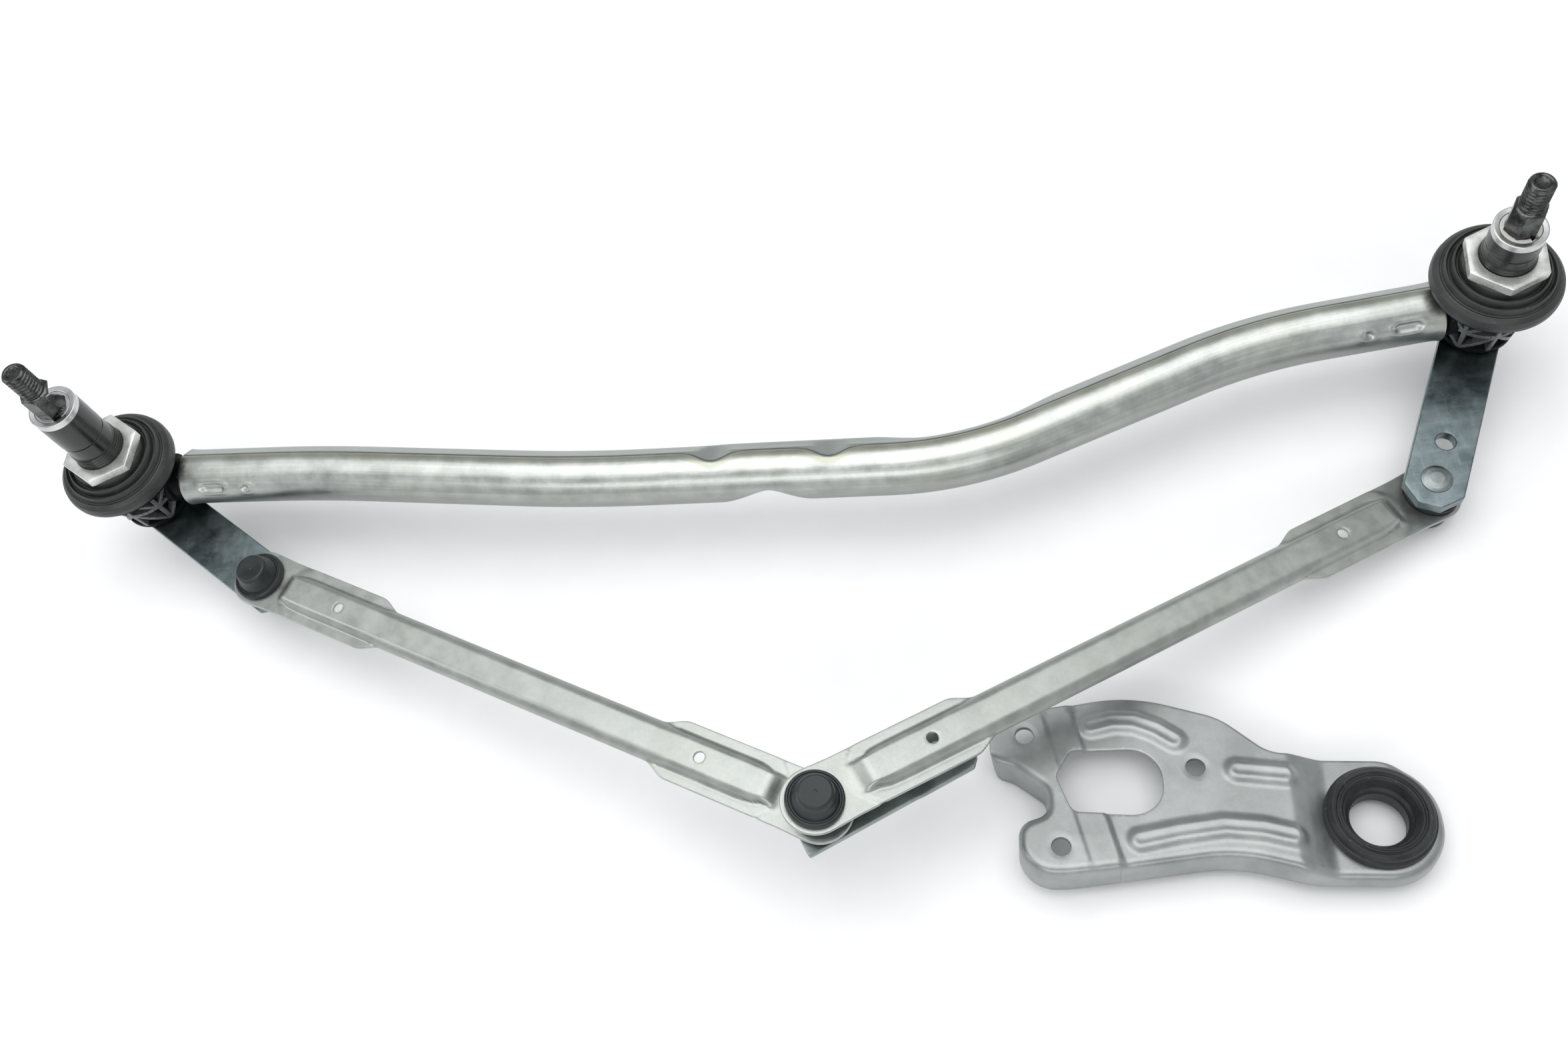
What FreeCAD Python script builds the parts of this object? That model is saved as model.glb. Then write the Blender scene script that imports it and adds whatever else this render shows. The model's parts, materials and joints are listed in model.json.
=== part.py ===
import FreeCAD, Part
import math
import os

import Sketcher
from FreeCAD import Placement, Rotation, Vector

# A tandem windshield wiper linkage: frame tube, two pivots with levers, two link rods, crank arm, loose bracket.
# Millimetres. The origin is on the left pivot's axis, halfway up the plain part of its neck.
# +X runs to the right pivot, +Y away from the link rods, +Z up along the pivot shafts.

SIZES = (
    ("pivot_spacing", 578, "left pivot axis to right pivot axis"),
    ("left_neck_top", 10, "top of the left neck's collar"),
    ("right_neck_top", -7, "top of the right neck's collar"),
    ("left_thread_top", -10, "foot of the left neck's plain part"),
    ("right_thread_top", -17, "foot of the right neck's plain part"),
    ("neck_radius", 10, "plain part of the neck, and collar"),
    ("neck_thread_radius", 10.4, "threaded part of the neck"),
    ("bush_radius", 7.5, "bore of the housing, outside of the bushes"),
    ("shaft_radius", 6, "shaft journal"),
    ("running_gap", 0.05, "radial play of the shaft in its bushes"),
    ("thread_radius", 5, "wiper arm thread on the shaft tip"),
    ("thread_length", 13.5, "thread on the shaft tip"),
    ("prism_flats", 11.5, "across flats of the hexagon under the thread"),
    ("prism_length", 12.5, "hexagon under the thread"),
    ("notch_depth", 5.2, "shaft notch, from the hexagon's corner inwards"),
    ("left_shaft_turn", 45, "turn of the hexagon and its notch about the shaft"),
    ("right_shaft_turn", 60, "turn of the hexagon about the shaft"),
    ("collar_length", 3, "collar on the neck"),
    ("nut_flats", 29, "across flats of the neck nut"),
    ("nut_height", 4, "neck nut"),
    ("nut_seat", -28, "plane where the nut meets the seal"),
    ("nut_turn", 21, "turn of the nut's corners about the neck"),
    ("seal_radius", 25, "rubber body seal"),
    ("seal_bottom", -41, "underside of the seal, top of the flange"),
    ("flange_radius", 23, "flange under the seal"),
    ("barrel_radius", 13, "barrel of the housing"),
    ("housing_bottom", -70.5, "underside of the housing"),
    ("rib_width", 2, "ribs round the barrel"),
    ("rib_top_radius", 18, "outside of the ribs under the flange"),
    ("rib_middle_radius", 16.6, "ring round the ribs at the tube's level"),
    ("foot_radius", 15, "ring at the foot of the housing"),
    ("tube_radius", 12, "frame tube outside"),
    ("tube_wall", 1.5, "frame tube wall"),
    ("tube_level", -57, "centre line of the frame tube"),
    ("left_tube_start", 24, "left pivot axis to the tube's end"),
    ("right_tube_start", 19, "right pivot axis to the tube's end"),
    ("left_tube_run", 86, "left pivot axis to the tube's first gentle bend"),
    ("right_tube_run", 93.4, "right pivot axis to the tube's last bend"),
    ("tube_bow_x", 202, "second gentle bend of the tube"),
    ("tube_bow_y", -27.2, "second gentle bend of the tube"),
    ("tube_dip_x", 361.7, "lowest bend of the tube"),
    ("tube_dip_y", -42.4, "lowest bend of the tube"),
    ("crimp_radius", 6, "ball that presses the crimps"),
    ("crimp_depth", 1.2, "depth of the crimps"),
    ("crimp_turn", 56, "crimps round the tube, from +Z towards -Y"),
    ("left_spigot_offset", 3.0, "spigot line to pivot axis, left"),
    ("right_spigot_offset", -1.0, "spigot line to pivot axis, right"),
    ("spigot_end", 46, "pivot axis to the end of the spigot"),
    ("left_tube_turn", -6.4, "direction of the tube as it leaves the left pivot"),
    ("right_tube_turn", 183.0, "direction of the tube as it leaves the right pivot"),
    ("lever_top", -71.5, "top face of both levers"),
    ("lever_thickness", 5, "lever bar"),
    ("lever_width", 23, "lever bar"),
    ("lever_reach", 76, "pivot axis to ball centre"),
    ("lever_overhang", 12, "ball centre to the end of the lever"),
    ("lever_chamfer", 7, "cut corners of the lever"),
    ("left_lever_turn", -41, "direction of the left lever from +X"),
    ("right_lever_turn", -115.5, "direction of the right lever from +X"),
    ("gauge_hole_reach", 58, "pivot axis to the hole in the right lever"),
    ("gauge_hole", 7.6, "diameter of that hole"),
    ("ball_radius", 5, "every ball"),
    ("ball_play", 0.1, "radial play of a ball in its socket"),
    ("left_ball_rise", 8, "lever top to ball centre, left"),
    ("right_ball_drop", 10, "lever underside to ball centre, right"),
    ("open_socket_radius", 9.7, "inside of the wide socket on the right lever"),
    ("socket_flange", 10.8, "radius of a socket's flange"),
    ("socket_body", 8.5, "radius of a socket's body in the rod"),
    ("crank_pin_x", 294, "crank stud axis"),
    ("crank_pin_y", -182.5, "crank stud axis"),
    ("crank_low_ball", -44, "centre of the crank stud's lower ball"),
    ("crank_ball_gap", 13, "lower ball centre to upper ball centre"),
    ("crank_top", -52, "top face of the crank arm"),
    ("crank_reach", 48, "crank stud to motor shaft bore"),
    ("crank_length", 60, "crank stud to the far end of the arm"),
    ("crank_width", 23, "crank arm"),
    ("crank_thickness", 3.5, "crank arm"),
    ("crank_turn", 24, "direction of the crank arm from +X"),
    ("crank_bore", 8, "bore for the motor shaft"),
    ("rod_sheet", 1.6, "sheet of the link rods"),
    ("rod_depth", 1.5, "ball centre to the near face of the rod's sheet"),
    ("rod_end_radius", 12.5, "round ends of the link rods"),
    ("rod_flare", 12, "half width of a rod near its ends"),
    ("rod_waist", 8.2, "half width of a rod in the middle"),
    ("rod_flare_end", 61, "ball centre to the end of the flare"),
    ("rod_waist_start", 71, "ball centre to the start of the waist"),
    ("rod_ridge_start", 24, "ball centre to the start of the ridge"),
    ("rod_ridge_width", 4.6, "half width of the pressed ridge"),
    ("rod_ridge_height", 3.4, "ridge above the sheet"),
    ("rod_hole", 4.4, "location holes in a rod"),
    ("bracket_sheet", 2, "sheet of the motor bracket"),
    ("bracket_wall", 14, "depth of the bracket's near wall"),
    ("bracket_hole", 7, "screw holes of the bracket"),
    ("pad_drop", 6, "grommet pad below the bracket's plate"),
    ("grommet_radius", 19.7, "grommet flange"),
    ("grommet_groove", 15.5, "grommet groove, hole in the pad"),
    ("grommet_bore", 10.3, "hole of the grommet"),
    ("bracket_x", 441, "middle of the bracket"),
    ("bracket_y", -186, "middle of the bracket"),
    ("bracket_turn", -6, "turn of the bracket about Z"),
    ("bracket_lean", -9.6, "lean of the bracket, from its near wall down to its far edge"),
    ("floor_level", -96, "surface that the bracket lies on"),
)

doc = FreeCAD.newDocument("wiper_linkage")
sheet = doc.addObject("Spreadsheet::Sheet", "sizes")
for row, (alias, value, meaning) in enumerate(SIZES, start=1):
    sheet.set(f"A{row}", meaning)
    sheet.set(f"B{row}", str(value))
    sheet.setAlias(f"B{row}", alias)
doc.recompute()

PIECES = []
ALIASES = sorted((alias for alias, _, _ in SIZES), key=len, reverse=True)


def size(alias):
    return float(sheet.get(alias))


def bound(text):
    """Turn a formula of alias names into an expression on the sheet."""
    words = []
    word = ""
    for letter in str(text) + " ":
        if letter.isalnum() or letter in "_.":
            word += letter
            continue
        words.append("sizes." + word if word in ALIASES else word)
        words.append(letter)
        word = ""
    return "".join(words).strip()


def bind(target, path, text):
    target.setExpression(path, bound(text))


def number(text):
    return float(sheet.evalExpression(bound(text)))


def piece(target, label, place=None):
    """Name a finished sub-part and put it in its place."""
    target.Label = label
    if place is not None:
        target.Placement = place
    PIECES.append(target)
    return target


# ---------------------------------------------------------------- sketched bodies

def new_body(label):
    return doc.addObject("PartDesign::Body", label + "_body")


def new_sketch(body, role, offset=None):
    sketch = body.newObject("Sketcher::SketchObject", "sketch")
    plane = next(item for item in body.Origin.OriginFeatures if item.Role == role)
    sketch.AttachmentSupport = (plane, [""])
    sketch.MapMode = "FlatFace"
    if offset is not None:
        bind(sketch, "AttachmentOffset.Base.z", offset)
    return sketch


def fix(sketch, kind, geometry, point, text):
    constraint = sketch.addConstraint(Sketcher.Constraint(kind, -1, 1, geometry, point, number(text)))
    bind(sketch, f"Constraints[{constraint}]", text)


def draw_polygon(sketch, corners):
    """Closed outline whose corners are pairs of formulas."""
    points = [Vector(number(x), number(y), 0) for x, y in corners]
    first = sketch.GeometryCount
    count = len(points)
    for index in range(count):
        sketch.addGeometry(Part.LineSegment(points[index], points[(index + 1) % count]))
    for index in range(count):
        here = first + index
        following = first + (index + 1) % count
        sketch.addConstraint(Sketcher.Constraint("Coincident", here, 2, following, 1))
    for index, (x, y) in enumerate(corners):
        fix(sketch, "DistanceX", first + index, 1, x)
        fix(sketch, "DistanceY", first + index, 1, y)


def draw_circle(sketch, x, y, radius):
    middle = Vector(number(x), number(y), 0)
    circle = sketch.addGeometry(Part.Circle(middle, Vector(0, 0, 1), number(radius)))
    fix(sketch, "DistanceX", circle, 3, x)
    fix(sketch, "DistanceY", circle, 3, y)
    constraint = sketch.addConstraint(Sketcher.Constraint("Radius", circle, number(radius)))
    bind(sketch, f"Constraints[{constraint}]", radius)


def revolve(body, outline):
    """Turn an outline of (radius, height) formulas about the body's Z axis."""
    sketch = new_sketch(body, "XZ_Plane")
    draw_polygon(sketch, outline)
    turned = body.newObject("PartDesign::Revolution", "turned")
    turned.Profile = sketch
    turned.ReferenceAxis = (sketch, ["V_Axis"])
    turned.Angle = 360
    return turned


def pad(body, role, offset, length, polygons=(), circles=(), both_ways=False):
    sketch = new_sketch(body, role, offset)
    for corners in polygons:
        draw_polygon(sketch, corners)
    for circle in circles:
        draw_circle(sketch, *circle)
    block = body.newObject("PartDesign::Pad", "pad")
    block.Profile = sketch
    bind(block, "Length", length)
    if both_ways:
        block.Midplane = True
    return block


def pocket(body, role, offset, length, polygons=(), circles=()):
    """Cut upwards from the offset plane."""
    sketch = new_sketch(body, role, offset)
    for corners in polygons:
        draw_polygon(sketch, corners)
    for circle in circles:
        draw_circle(sketch, *circle)
    cut = body.newObject("PartDesign::Pocket", "pocket")
    cut.Profile = sketch
    cut.Reversed = True
    bind(cut, "Length", length)
    return cut


def turned_piece(label, outline, place):
    body = new_body(label)
    revolve(body, outline)
    return piece(body, label, place)


def ring(label, inner, outer, bottom, top, place):
    outline = ((inner, bottom), (outer, bottom), (outer, top), (inner, top))
    return turned_piece(label, outline, place)


# ---------------------------------------------------------------- solids from primitives

def primitive(kind, bottom, **measures):
    """Cylinder, cone or sphere on the Z axis; a sphere's bottom is its centre."""
    shape = doc.addObject("Part::" + kind, kind.lower())
    for name, text in measures.items():
        bind(shape, name, text)
    bind(shape, "Placement.Base.z", bottom)
    return shape


def fuse(parts):
    joined = doc.addObject("Part::MultiFuse", "joined")
    joined.Shapes = parts
    joined.Refine = True
    return joined


def cut(base, tools):
    result = doc.addObject("Part::Cut", "cut")
    result.Base = base
    result.Tool = tools[0] if len(tools) == 1 else fuse(tools)
    return result


# ---------------------------------------------------------------- places

def pivot_place(x, turn=0.0):
    return Placement(Vector(x, 0, 0), Rotation(Vector(0, 0, 1), turn))


def polar(centre, reach, turn):
    angle = math.radians(turn)
    return Vector(centre.x + reach * math.cos(angle), centre.y + reach * math.sin(angle), centre.z)


def along(start, end, lift_start, lift_end):
    """Frame whose X runs from start to end, each moved along the frame's own Z by its lift."""
    turn = Rotation()
    for _ in range(8):
        upward = turn.multVec(Vector(0, 0, 1))
        low = start + upward * lift_start
        run = end + upward * lift_end - low
        side = Vector(0, 0, 1).cross(run).normalize()
        turn = Rotation(run, side, run.cross(side), "XYZ")
    return Placement(low, turn), run.Length


LEFT_PIVOT = Vector(0, 0, 0)
RIGHT_PIVOT = Vector(size("pivot_spacing"), 0, 0)
LEFT_BALL = polar(LEFT_PIVOT, size("lever_reach"), size("left_lever_turn"))
LEFT_BALL.z = number("lever_top + left_ball_rise")
RIGHT_BALL = polar(RIGHT_PIVOT, size("lever_reach"), size("right_lever_turn"))
RIGHT_BALL.z = number("lever_top - lever_thickness - right_ball_drop")
LOW_BALL = Vector(size("crank_pin_x"), size("crank_pin_y"), size("crank_low_ball"))
HIGH_BALL = LOW_BALL + Vector(0, 0, size("crank_ball_gap"))


# ---------------------------------------------------------------- pivots

def make_housing(label, neck_top, thread_top, spigot_offset, place):
    """Barrel with neck and flange, ribs all round it, and a spigot that fills the tube's end."""
    body = new_body(label)
    neck_end = f"{neck_top} - collar_length"
    revolve(body, (
        ("bush_radius", "housing_bottom"), ("foot_radius", "housing_bottom"),
        ("foot_radius", "housing_bottom + 2"), ("barrel_radius", "housing_bottom + 2"),
        ("barrel_radius", "tube_level - 1"), ("rib_middle_radius", "tube_level - 1"),
        ("rib_middle_radius", "tube_level + 1"), ("barrel_radius", "tube_level + 1"),
        ("barrel_radius", "seal_bottom - 3"), ("flange_radius", "seal_bottom - 3"),
        ("flange_radius", "seal_bottom"), ("neck_thread_radius", "seal_bottom"),
        ("neck_thread_radius", thread_top), ("neck_radius", thread_top),
        ("neck_radius", neck_end), ("bush_radius", neck_end),
    ))
    rib = pad(body, "XZ_Plane", None, "rib_width", both_ways=True, polygons=[(
        ("barrel_radius - 1", "housing_bottom + 1"), ("foot_radius", "housing_bottom + 1"),
        ("rib_top_radius", "seal_bottom - 2"), ("barrel_radius - 1", "seal_bottom - 2"))])
    ribs = body.newObject("PartDesign::PolarPattern", "ribs")
    ribs.Originals = [rib]
    ribs.Axis = (next(item for item in body.Origin.OriginFeatures if item.Role == "Z_Axis"), [""])
    ribs.Angle = 360
    ribs.Occurrences = 8
    body.Tip = ribs
    pad(body, "YZ_Plane", "barrel_radius - 1", "spigot_end - barrel_radius + 1",
        circles=[(spigot_offset, "tube_level", "tube_radius - tube_wall")])
    return piece(body, label, place)


def make_shaft(label, neck_top, notched, place):
    """Riveted foot, journal with a snap ring groove, hexagon, thread with a hollowed tip."""
    body = new_body(label)
    lever_foot = "lever_top - lever_thickness"
    groove = f"{neck_top} - 1.8"
    hexagon = f"{neck_top}"
    tip = f"{neck_top} + prism_length + thread_length"
    revolve(body, (
        ("0", f"{lever_foot} - 2"), ("shaft_radius + 2", f"{lever_foot} - 2"), ("shaft_radius + 2", lever_foot),
        ("shaft_radius - 0.1", lever_foot), ("shaft_radius - 0.1", "lever_top"), ("shaft_radius", "lever_top"),
        ("shaft_radius", groove), ("shaft_radius - 0.6", groove), ("shaft_radius - 0.6", f"{groove} + 1.2"),
        ("thread_radius", f"{groove} + 1.2"), ("thread_radius", f"{tip} - 0.8"), ("thread_radius - 0.8", tip),
        ("thread_radius - 2", tip), ("thread_radius - 2.6", f"{tip} - 1.2"), ("0", f"{tip} - 1.2"),
    ))
    flat = "prism_flats / 2"
    corner = "prism_flats / sqrt(3)"
    pad(body, "XY_Plane", hexagon, "prism_length", polygons=[(
        (corner, "0"), (f"{corner} / 2", flat), (f"-{corner} / 2", flat),
        (f"-{corner}", "0"), (f"-{corner} / 2", f"-{flat}"), (f"{corner} / 2", f"-{flat}"))])
    if notched:
        inner = f"{corner} - notch_depth"
        pocket(body, "XY_Plane", f"{hexagon} + 0.5", "prism_length - 2", polygons=[(
            (inner, "-10"), ("10", "-10"), ("10", "10"), (inner, "10"))])
    return piece(body, label, place)


def make_lever(label, place, gauge_hole=False):
    """Flat bar with cut corners: shaft hole at the origin, ball stud hole along +X."""
    body = new_body(label)
    side = "lever_width / 2"
    end = "lever_reach + lever_overhang"
    inset = "lever_width / 2 - lever_chamfer"
    holes = [("0", "0", "shaft_radius - 0.1"), ("lever_reach", "0", "ball_radius - 1.5")]
    if gauge_hole:
        holes.append(("gauge_hole_reach", "0", "gauge_hole / 2"))
    pad(body, "XY_Plane", "lever_top - lever_thickness", "lever_thickness", circles=holes, polygons=[(
        (f"-{side}", f"-({inset})"), (f"-({inset})", f"-{side}"), (f"{end} - lever_chamfer", f"-{side}"),
        (end, f"-({inset})"), (end, inset), (f"{end} - lever_chamfer", side),
        (f"-({inset})", side), (f"-{side}", inset))])
    return piece(body, label, place)


def make_pivot(side, pivot, spigot_offset, tube_turn, lever_turn):
    """One wiper pivot: everything on one pivot axis, from the shaft tip down to the lever."""
    neck_top = f"{side}_neck_top"
    upright = pivot_place(pivot.x)
    to_tube = pivot_place(pivot.x, tube_turn)
    to_ball = pivot_place(pivot.x, lever_turn)
    bore = "shaft_radius + running_gap"
    make_housing(f"{side}_pivot_housing", neck_top, f"{side}_thread_top", spigot_offset, to_tube)
    turned_piece(f"{side}_body_seal", (
        ("neck_thread_radius", "seal_bottom"), ("seal_radius", "seal_bottom"), ("seal_radius", "seal_bottom + 5"),
        ("seal_radius - 4", "seal_bottom + 7"), ("seal_radius - 6", "seal_bottom + 9"),
        ("seal_radius - 8", "nut_seat"), ("neck_thread_radius", "nut_seat")), upright)
    nut = new_body(f"{side}_pivot_nut")
    nut_corner = "nut_flats / sqrt(3)"
    nut_flat = "nut_flats / 2"
    pad(nut, "XY_Plane", "nut_seat", "nut_height", circles=[("0", "0", "neck_thread_radius")], polygons=[(
        (nut_corner, "0"), (f"{nut_corner} / 2", nut_flat), (f"-{nut_corner} / 2", nut_flat),
        (f"-{nut_corner}", "0"), (f"-{nut_corner} / 2", f"-{nut_flat}"), (f"{nut_corner} / 2", f"-{nut_flat}"))])
    piece(nut, f"{side}_pivot_nut", pivot_place(pivot.x, size("nut_turn")))
    ring(f"{side}_neck_collar", "bush_radius", "neck_radius", f"{neck_top} - collar_length", neck_top, upright)
    ring(f"{side}_thrust_washer", "shaft_radius + 0.3", "bush_radius - 0.1",
         f"{neck_top} - collar_length", f"{neck_top} - collar_length + 1", upright)
    ring(f"{side}_snap_ring", "shaft_radius - 0.6", "shaft_radius + 0.9",
         f"{neck_top} - 1.7", f"{neck_top} - 0.7", upright)
    ring(f"{side}_shaft_seal", bore, "bush_radius", f"{neck_top} - 6", f"{neck_top} - 4", upright)
    ring(f"{side}_upper_bush", bore, "bush_radius", f"{neck_top} - 18", f"{neck_top} - 6", upright)
    ring(f"{side}_lower_bush", bore, "bush_radius", "housing_bottom", "housing_bottom + 12", upright)
    ring(f"{side}_wave_washer", "shaft_radius + 0.4", "shaft_radius + 3.5",
         "lever_top + 0.2", "housing_bottom - 0.2", upright)
    make_shaft(f"{side}_pivot_shaft", neck_top, side == "left", pivot_place(pivot.x, size(f"{side}_shaft_turn")))
    make_lever(f"{side}_lever", to_ball, gauge_hole=side == "right")


# ---------------------------------------------------------------- ball joints

def make_lever_stud(label, place, neck):
    """Ball above a neck, with a collar on the lever's face and a riveted head on its far face."""
    shank = f"{neck} + lever_thickness"
    parts = [
        primitive("Sphere", "0", Radius="ball_radius"),
        primitive("Cylinder", f"-({neck})", Radius="ball_radius - 2", Height=neck),
        primitive("Cylinder", f"-({neck})", Radius="ball_radius + 0.2", Height="0.8"),
        primitive("Cylinder", f"-({shank})", Radius="ball_radius - 1.5", Height="lever_thickness"),
        primitive("Cone", f"-({shank}) - 1.4", Radius1="ball_radius - 0.6", Radius2="ball_radius + 1", Height="1.4"),
    ]
    return piece(fuse(parts), label, place)


def make_crank_stud(label, place):
    """Two balls one above the other, riveted in the crank arm."""
    foot = "crank_low_ball - crank_top"
    shank = "crank_low_ball - crank_top + crank_thickness"
    parts = [
        primitive("Sphere", "0", Radius="ball_radius"),
        primitive("Sphere", "crank_ball_gap", Radius="ball_radius"),
        primitive("Cylinder", f"-({foot})", Radius="ball_radius - 2", Height=f"{foot} + crank_ball_gap"),
        primitive("Cylinder", f"-({foot})", Radius="ball_radius + 0.2", Height="0.6"),
        primitive("Cylinder", f"-({shank})", Radius="ball_radius - 1.5", Height="crank_thickness"),
        primitive("Cone", f"-({shank}) - 1.4", Radius1="ball_radius - 0.6", Radius2="ball_radius + 1", Height="1.4"),
    ]
    return piece(fuse(parts), label, place)


def socket_tools():
    """The ball's room and the wide mouth below it."""
    return [
        primitive("Sphere", "0", Radius="ball_radius + ball_play"),
        primitive("Cone", "-5.2", Radius1="ball_radius + 1.4", Radius2="ball_radius - 0.6", Height="2.8"),
    ]


def make_cap_socket(label, place):
    """Domed socket with a flange on top of the rod."""
    outside = fuse([
        primitive("Cylinder", "-5", Radius="socket_body", Height="5"),
        primitive("Cylinder", "-rod_depth", Radius="socket_flange", Height="2.3"),
        primitive("Cone", "0.8", Radius1="socket_body", Radius2="socket_body - 2.2", Height="6.6"),
    ])
    return piece(cut(outside, socket_tools()), label, place)


def make_ring_socket(label, place):
    """Low socket that is open above and below, for the stud that carries on through it."""
    outside = fuse([
        primitive("Cylinder", "-5", Radius="socket_body", Height="5"),
        primitive("Cylinder", "-rod_depth", Radius="socket_flange", Height="2.3"),
    ])
    through = primitive("Cone", "1", Radius1="ball_radius - 0.8", Radius2="ball_radius - 0.6", Height="4")
    return piece(cut(outside, socket_tools() + [through]), label, place)


def make_wide_socket(label, place):
    """Cup with room all round the ball, where the closed linkage is left open."""
    outside = fuse([
        primitive("Cylinder", "-5", Radius="socket_flange", Height="12"),
        primitive("Cone", "7", Radius1="socket_flange", Radius2="socket_flange - 2", Height="1.4"),
    ])
    room = primitive("Cylinder", "-6", Radius="open_socket_radius", Height="12.8")
    return piece(cut(outside, [room]), label, place)


def make_dust_ring(label, place):
    return ring(label, "ball_radius + 0.4", "socket_body", "-6.6", "-5", place)


# ---------------------------------------------------------------- link rods

def make_rod(label, place, length, far_hole, small_holes):
    """Pressed rod along +X: wide flat ends, narrow middle, hollow ridge along the top."""
    body = new_body(label)
    flare_far = f"{length} - rod_flare_end"
    waist_far = f"{length} - rod_waist_start"
    bottom = "-rod_sheet / 2"
    pad(body, "XY_Plane", bottom, "rod_sheet", polygons=[(
        ("0", "-rod_flare"), ("rod_flare_end", "-rod_flare"), ("rod_waist_start", "-rod_waist"),
        (waist_far, "-rod_waist"), (flare_far, "-rod_flare"), (length, "-rod_flare"),
        (length, "rod_flare"), (flare_far, "rod_flare"), (waist_far, "rod_waist"),
        ("rod_waist_start", "rod_waist"), ("rod_flare_end", "rod_flare"), ("0", "rod_flare"))])
    for middle in ("0", length):
        pad(body, "XY_Plane", bottom, "rod_sheet", circles=[(middle, "0", "rod_end_radius")])
    ridge_end = f"{length} - rod_ridge_start"
    pad(body, "XY_Plane", "rod_sheet / 2", "rod_ridge_height", polygons=[(
        ("rod_ridge_start", "-rod_ridge_width"), (ridge_end, "-rod_ridge_width"),
        (ridge_end, "rod_ridge_width"), ("rod_ridge_start", "rod_ridge_width"))])
    inner = "rod_ridge_width - rod_sheet"
    pocket(body, "XY_Plane", bottom, "rod_ridge_height", polygons=[(
        ("rod_ridge_start + rod_sheet", f"-({inner})"), (f"{ridge_end} - rod_sheet", f"-({inner})"),
        (f"{ridge_end} - rod_sheet", inner), ("rod_ridge_start + rod_sheet", inner))])
    depth = "rod_sheet + rod_ridge_height"
    for middle, hole in (("0", "socket_body"), (length, far_hole)):
        pocket(body, "XY_Plane", bottom, depth, circles=[(middle, "0", hole)])
    for reach in small_holes:
        pocket(body, "XY_Plane", bottom, depth, circles=[(reach, "0", "rod_hole / 2")])
    return piece(body, label, place)


# ---------------------------------------------------------------- crank arm

def make_crank_arm(label, place):
    """Flat bar from the ball stud to the motor shaft's bore, with a cut corner at each far side."""
    body = new_body(label)
    side = "crank_width / 2"
    pad(body, "XY_Plane", "crank_top - crank_thickness", "crank_thickness",
        circles=[("0", "0", "ball_radius - 1.5"), ("crank_reach", "0", "crank_bore / 2")], polygons=[(
            (f"-{side}", f"-{side}"), ("crank_length - 3", f"-{side}"), ("crank_length", f"-{side} + 3"),
            ("crank_length", f"{side} - 3"), ("crank_length - 3", side), (f"-{side}", side))])
    return piece(body, label, place)


# ---------------------------------------------------------------- swept and pressed pieces

def corner_arc(before, corner, after, radius):
    """Arc of the given radius that is tangent to both runs at a corner."""
    back = (before - corner).normalize()
    ahead = (after - corner).normalize()
    half = back.getAngle(ahead) / 2
    reach = radius / math.tan(half)
    inward = (back + ahead).normalize()
    middle = corner + inward * (radius / math.sin(half) - radius)
    return Part.Arc(corner + back * reach, middle, corner + ahead * reach).toShape()


def rounded_wire(corners, radii, closed):
    """Straight runs joined by tangent arcs; an open path has no radius at its ends."""
    count = len(corners)
    turning = range(count) if closed else range(1, count - 1)
    arcs = [corner_arc(corners[index - 1], corners[index], corners[(index + 1) % count], radii[index])
            for index in turning]
    edges = []
    if not closed:
        edges.append(Part.makeLine(corners[0], arcs[0].firstVertex().Point))
    for index, arc in enumerate(arcs):
        edges.append(arc)
        if closed or index + 1 < len(arcs):
            following = arcs[(index + 1) % len(arcs)]
            edges.append(Part.makeLine(arc.lastVertex().Point, following.firstVertex().Point))
    if not closed:
        edges.append(Part.makeLine(arcs[-1].lastVertex().Point, corners[-1]))
    return Part.Wire(edges)


def make_frame_tube(label):
    """Bent tube between the two spigots, crimped onto each spigot in two places."""
    level = size("tube_level")
    left = pivot_place(LEFT_PIVOT.x, size("left_tube_turn"))
    right = pivot_place(RIGHT_PIVOT.x, size("right_tube_turn"))
    left_offset = size("left_spigot_offset")
    right_offset = size("right_spigot_offset")
    corners = [
        left.multVec(Vector(size("left_tube_start"), left_offset, level)),
        left.multVec(Vector(size("left_tube_run"), left_offset, level)),
        Vector(size("tube_bow_x"), size("tube_bow_y"), level),
        Vector(size("tube_dip_x"), size("tube_dip_y"), level),
        right.multVec(Vector(size("right_tube_run"), right_offset, level)),
        right.multVec(Vector(size("right_tube_start"), right_offset, level)),
    ]
    path = rounded_wire(corners, (0, 700, 700, 145, 228, 0), closed=False)
    heading = corners[1] - corners[0]
    sweeps = []
    for radius in (size("tube_radius"), number("tube_radius - tube_wall")):
        section = Part.Wire(Part.makeCircle(radius, corners[0], heading))
        sweeps.append(path.makePipeShell([section], True, False))
    tube = sweeps[0].cut(sweeps[1])
    lift = size("tube_radius") + size("crimp_radius") - size("crimp_depth")
    turn = math.radians(size("crimp_turn"))
    for end, following in ((corners[0], corners[1]), (corners[-1], corners[-2])):
        run = (following - end).normalize()
        for reach in (15, 30.5):
            press = end + run * reach + Vector(0, -lift * math.sin(turn), lift * math.cos(turn))
            tube = tube.cut(Part.makeSphere(size("crimp_radius"), press))
    solid = doc.addObject("Part::Feature", "tube")
    solid.Shape = tube
    return piece(solid, label, Placement())


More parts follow.
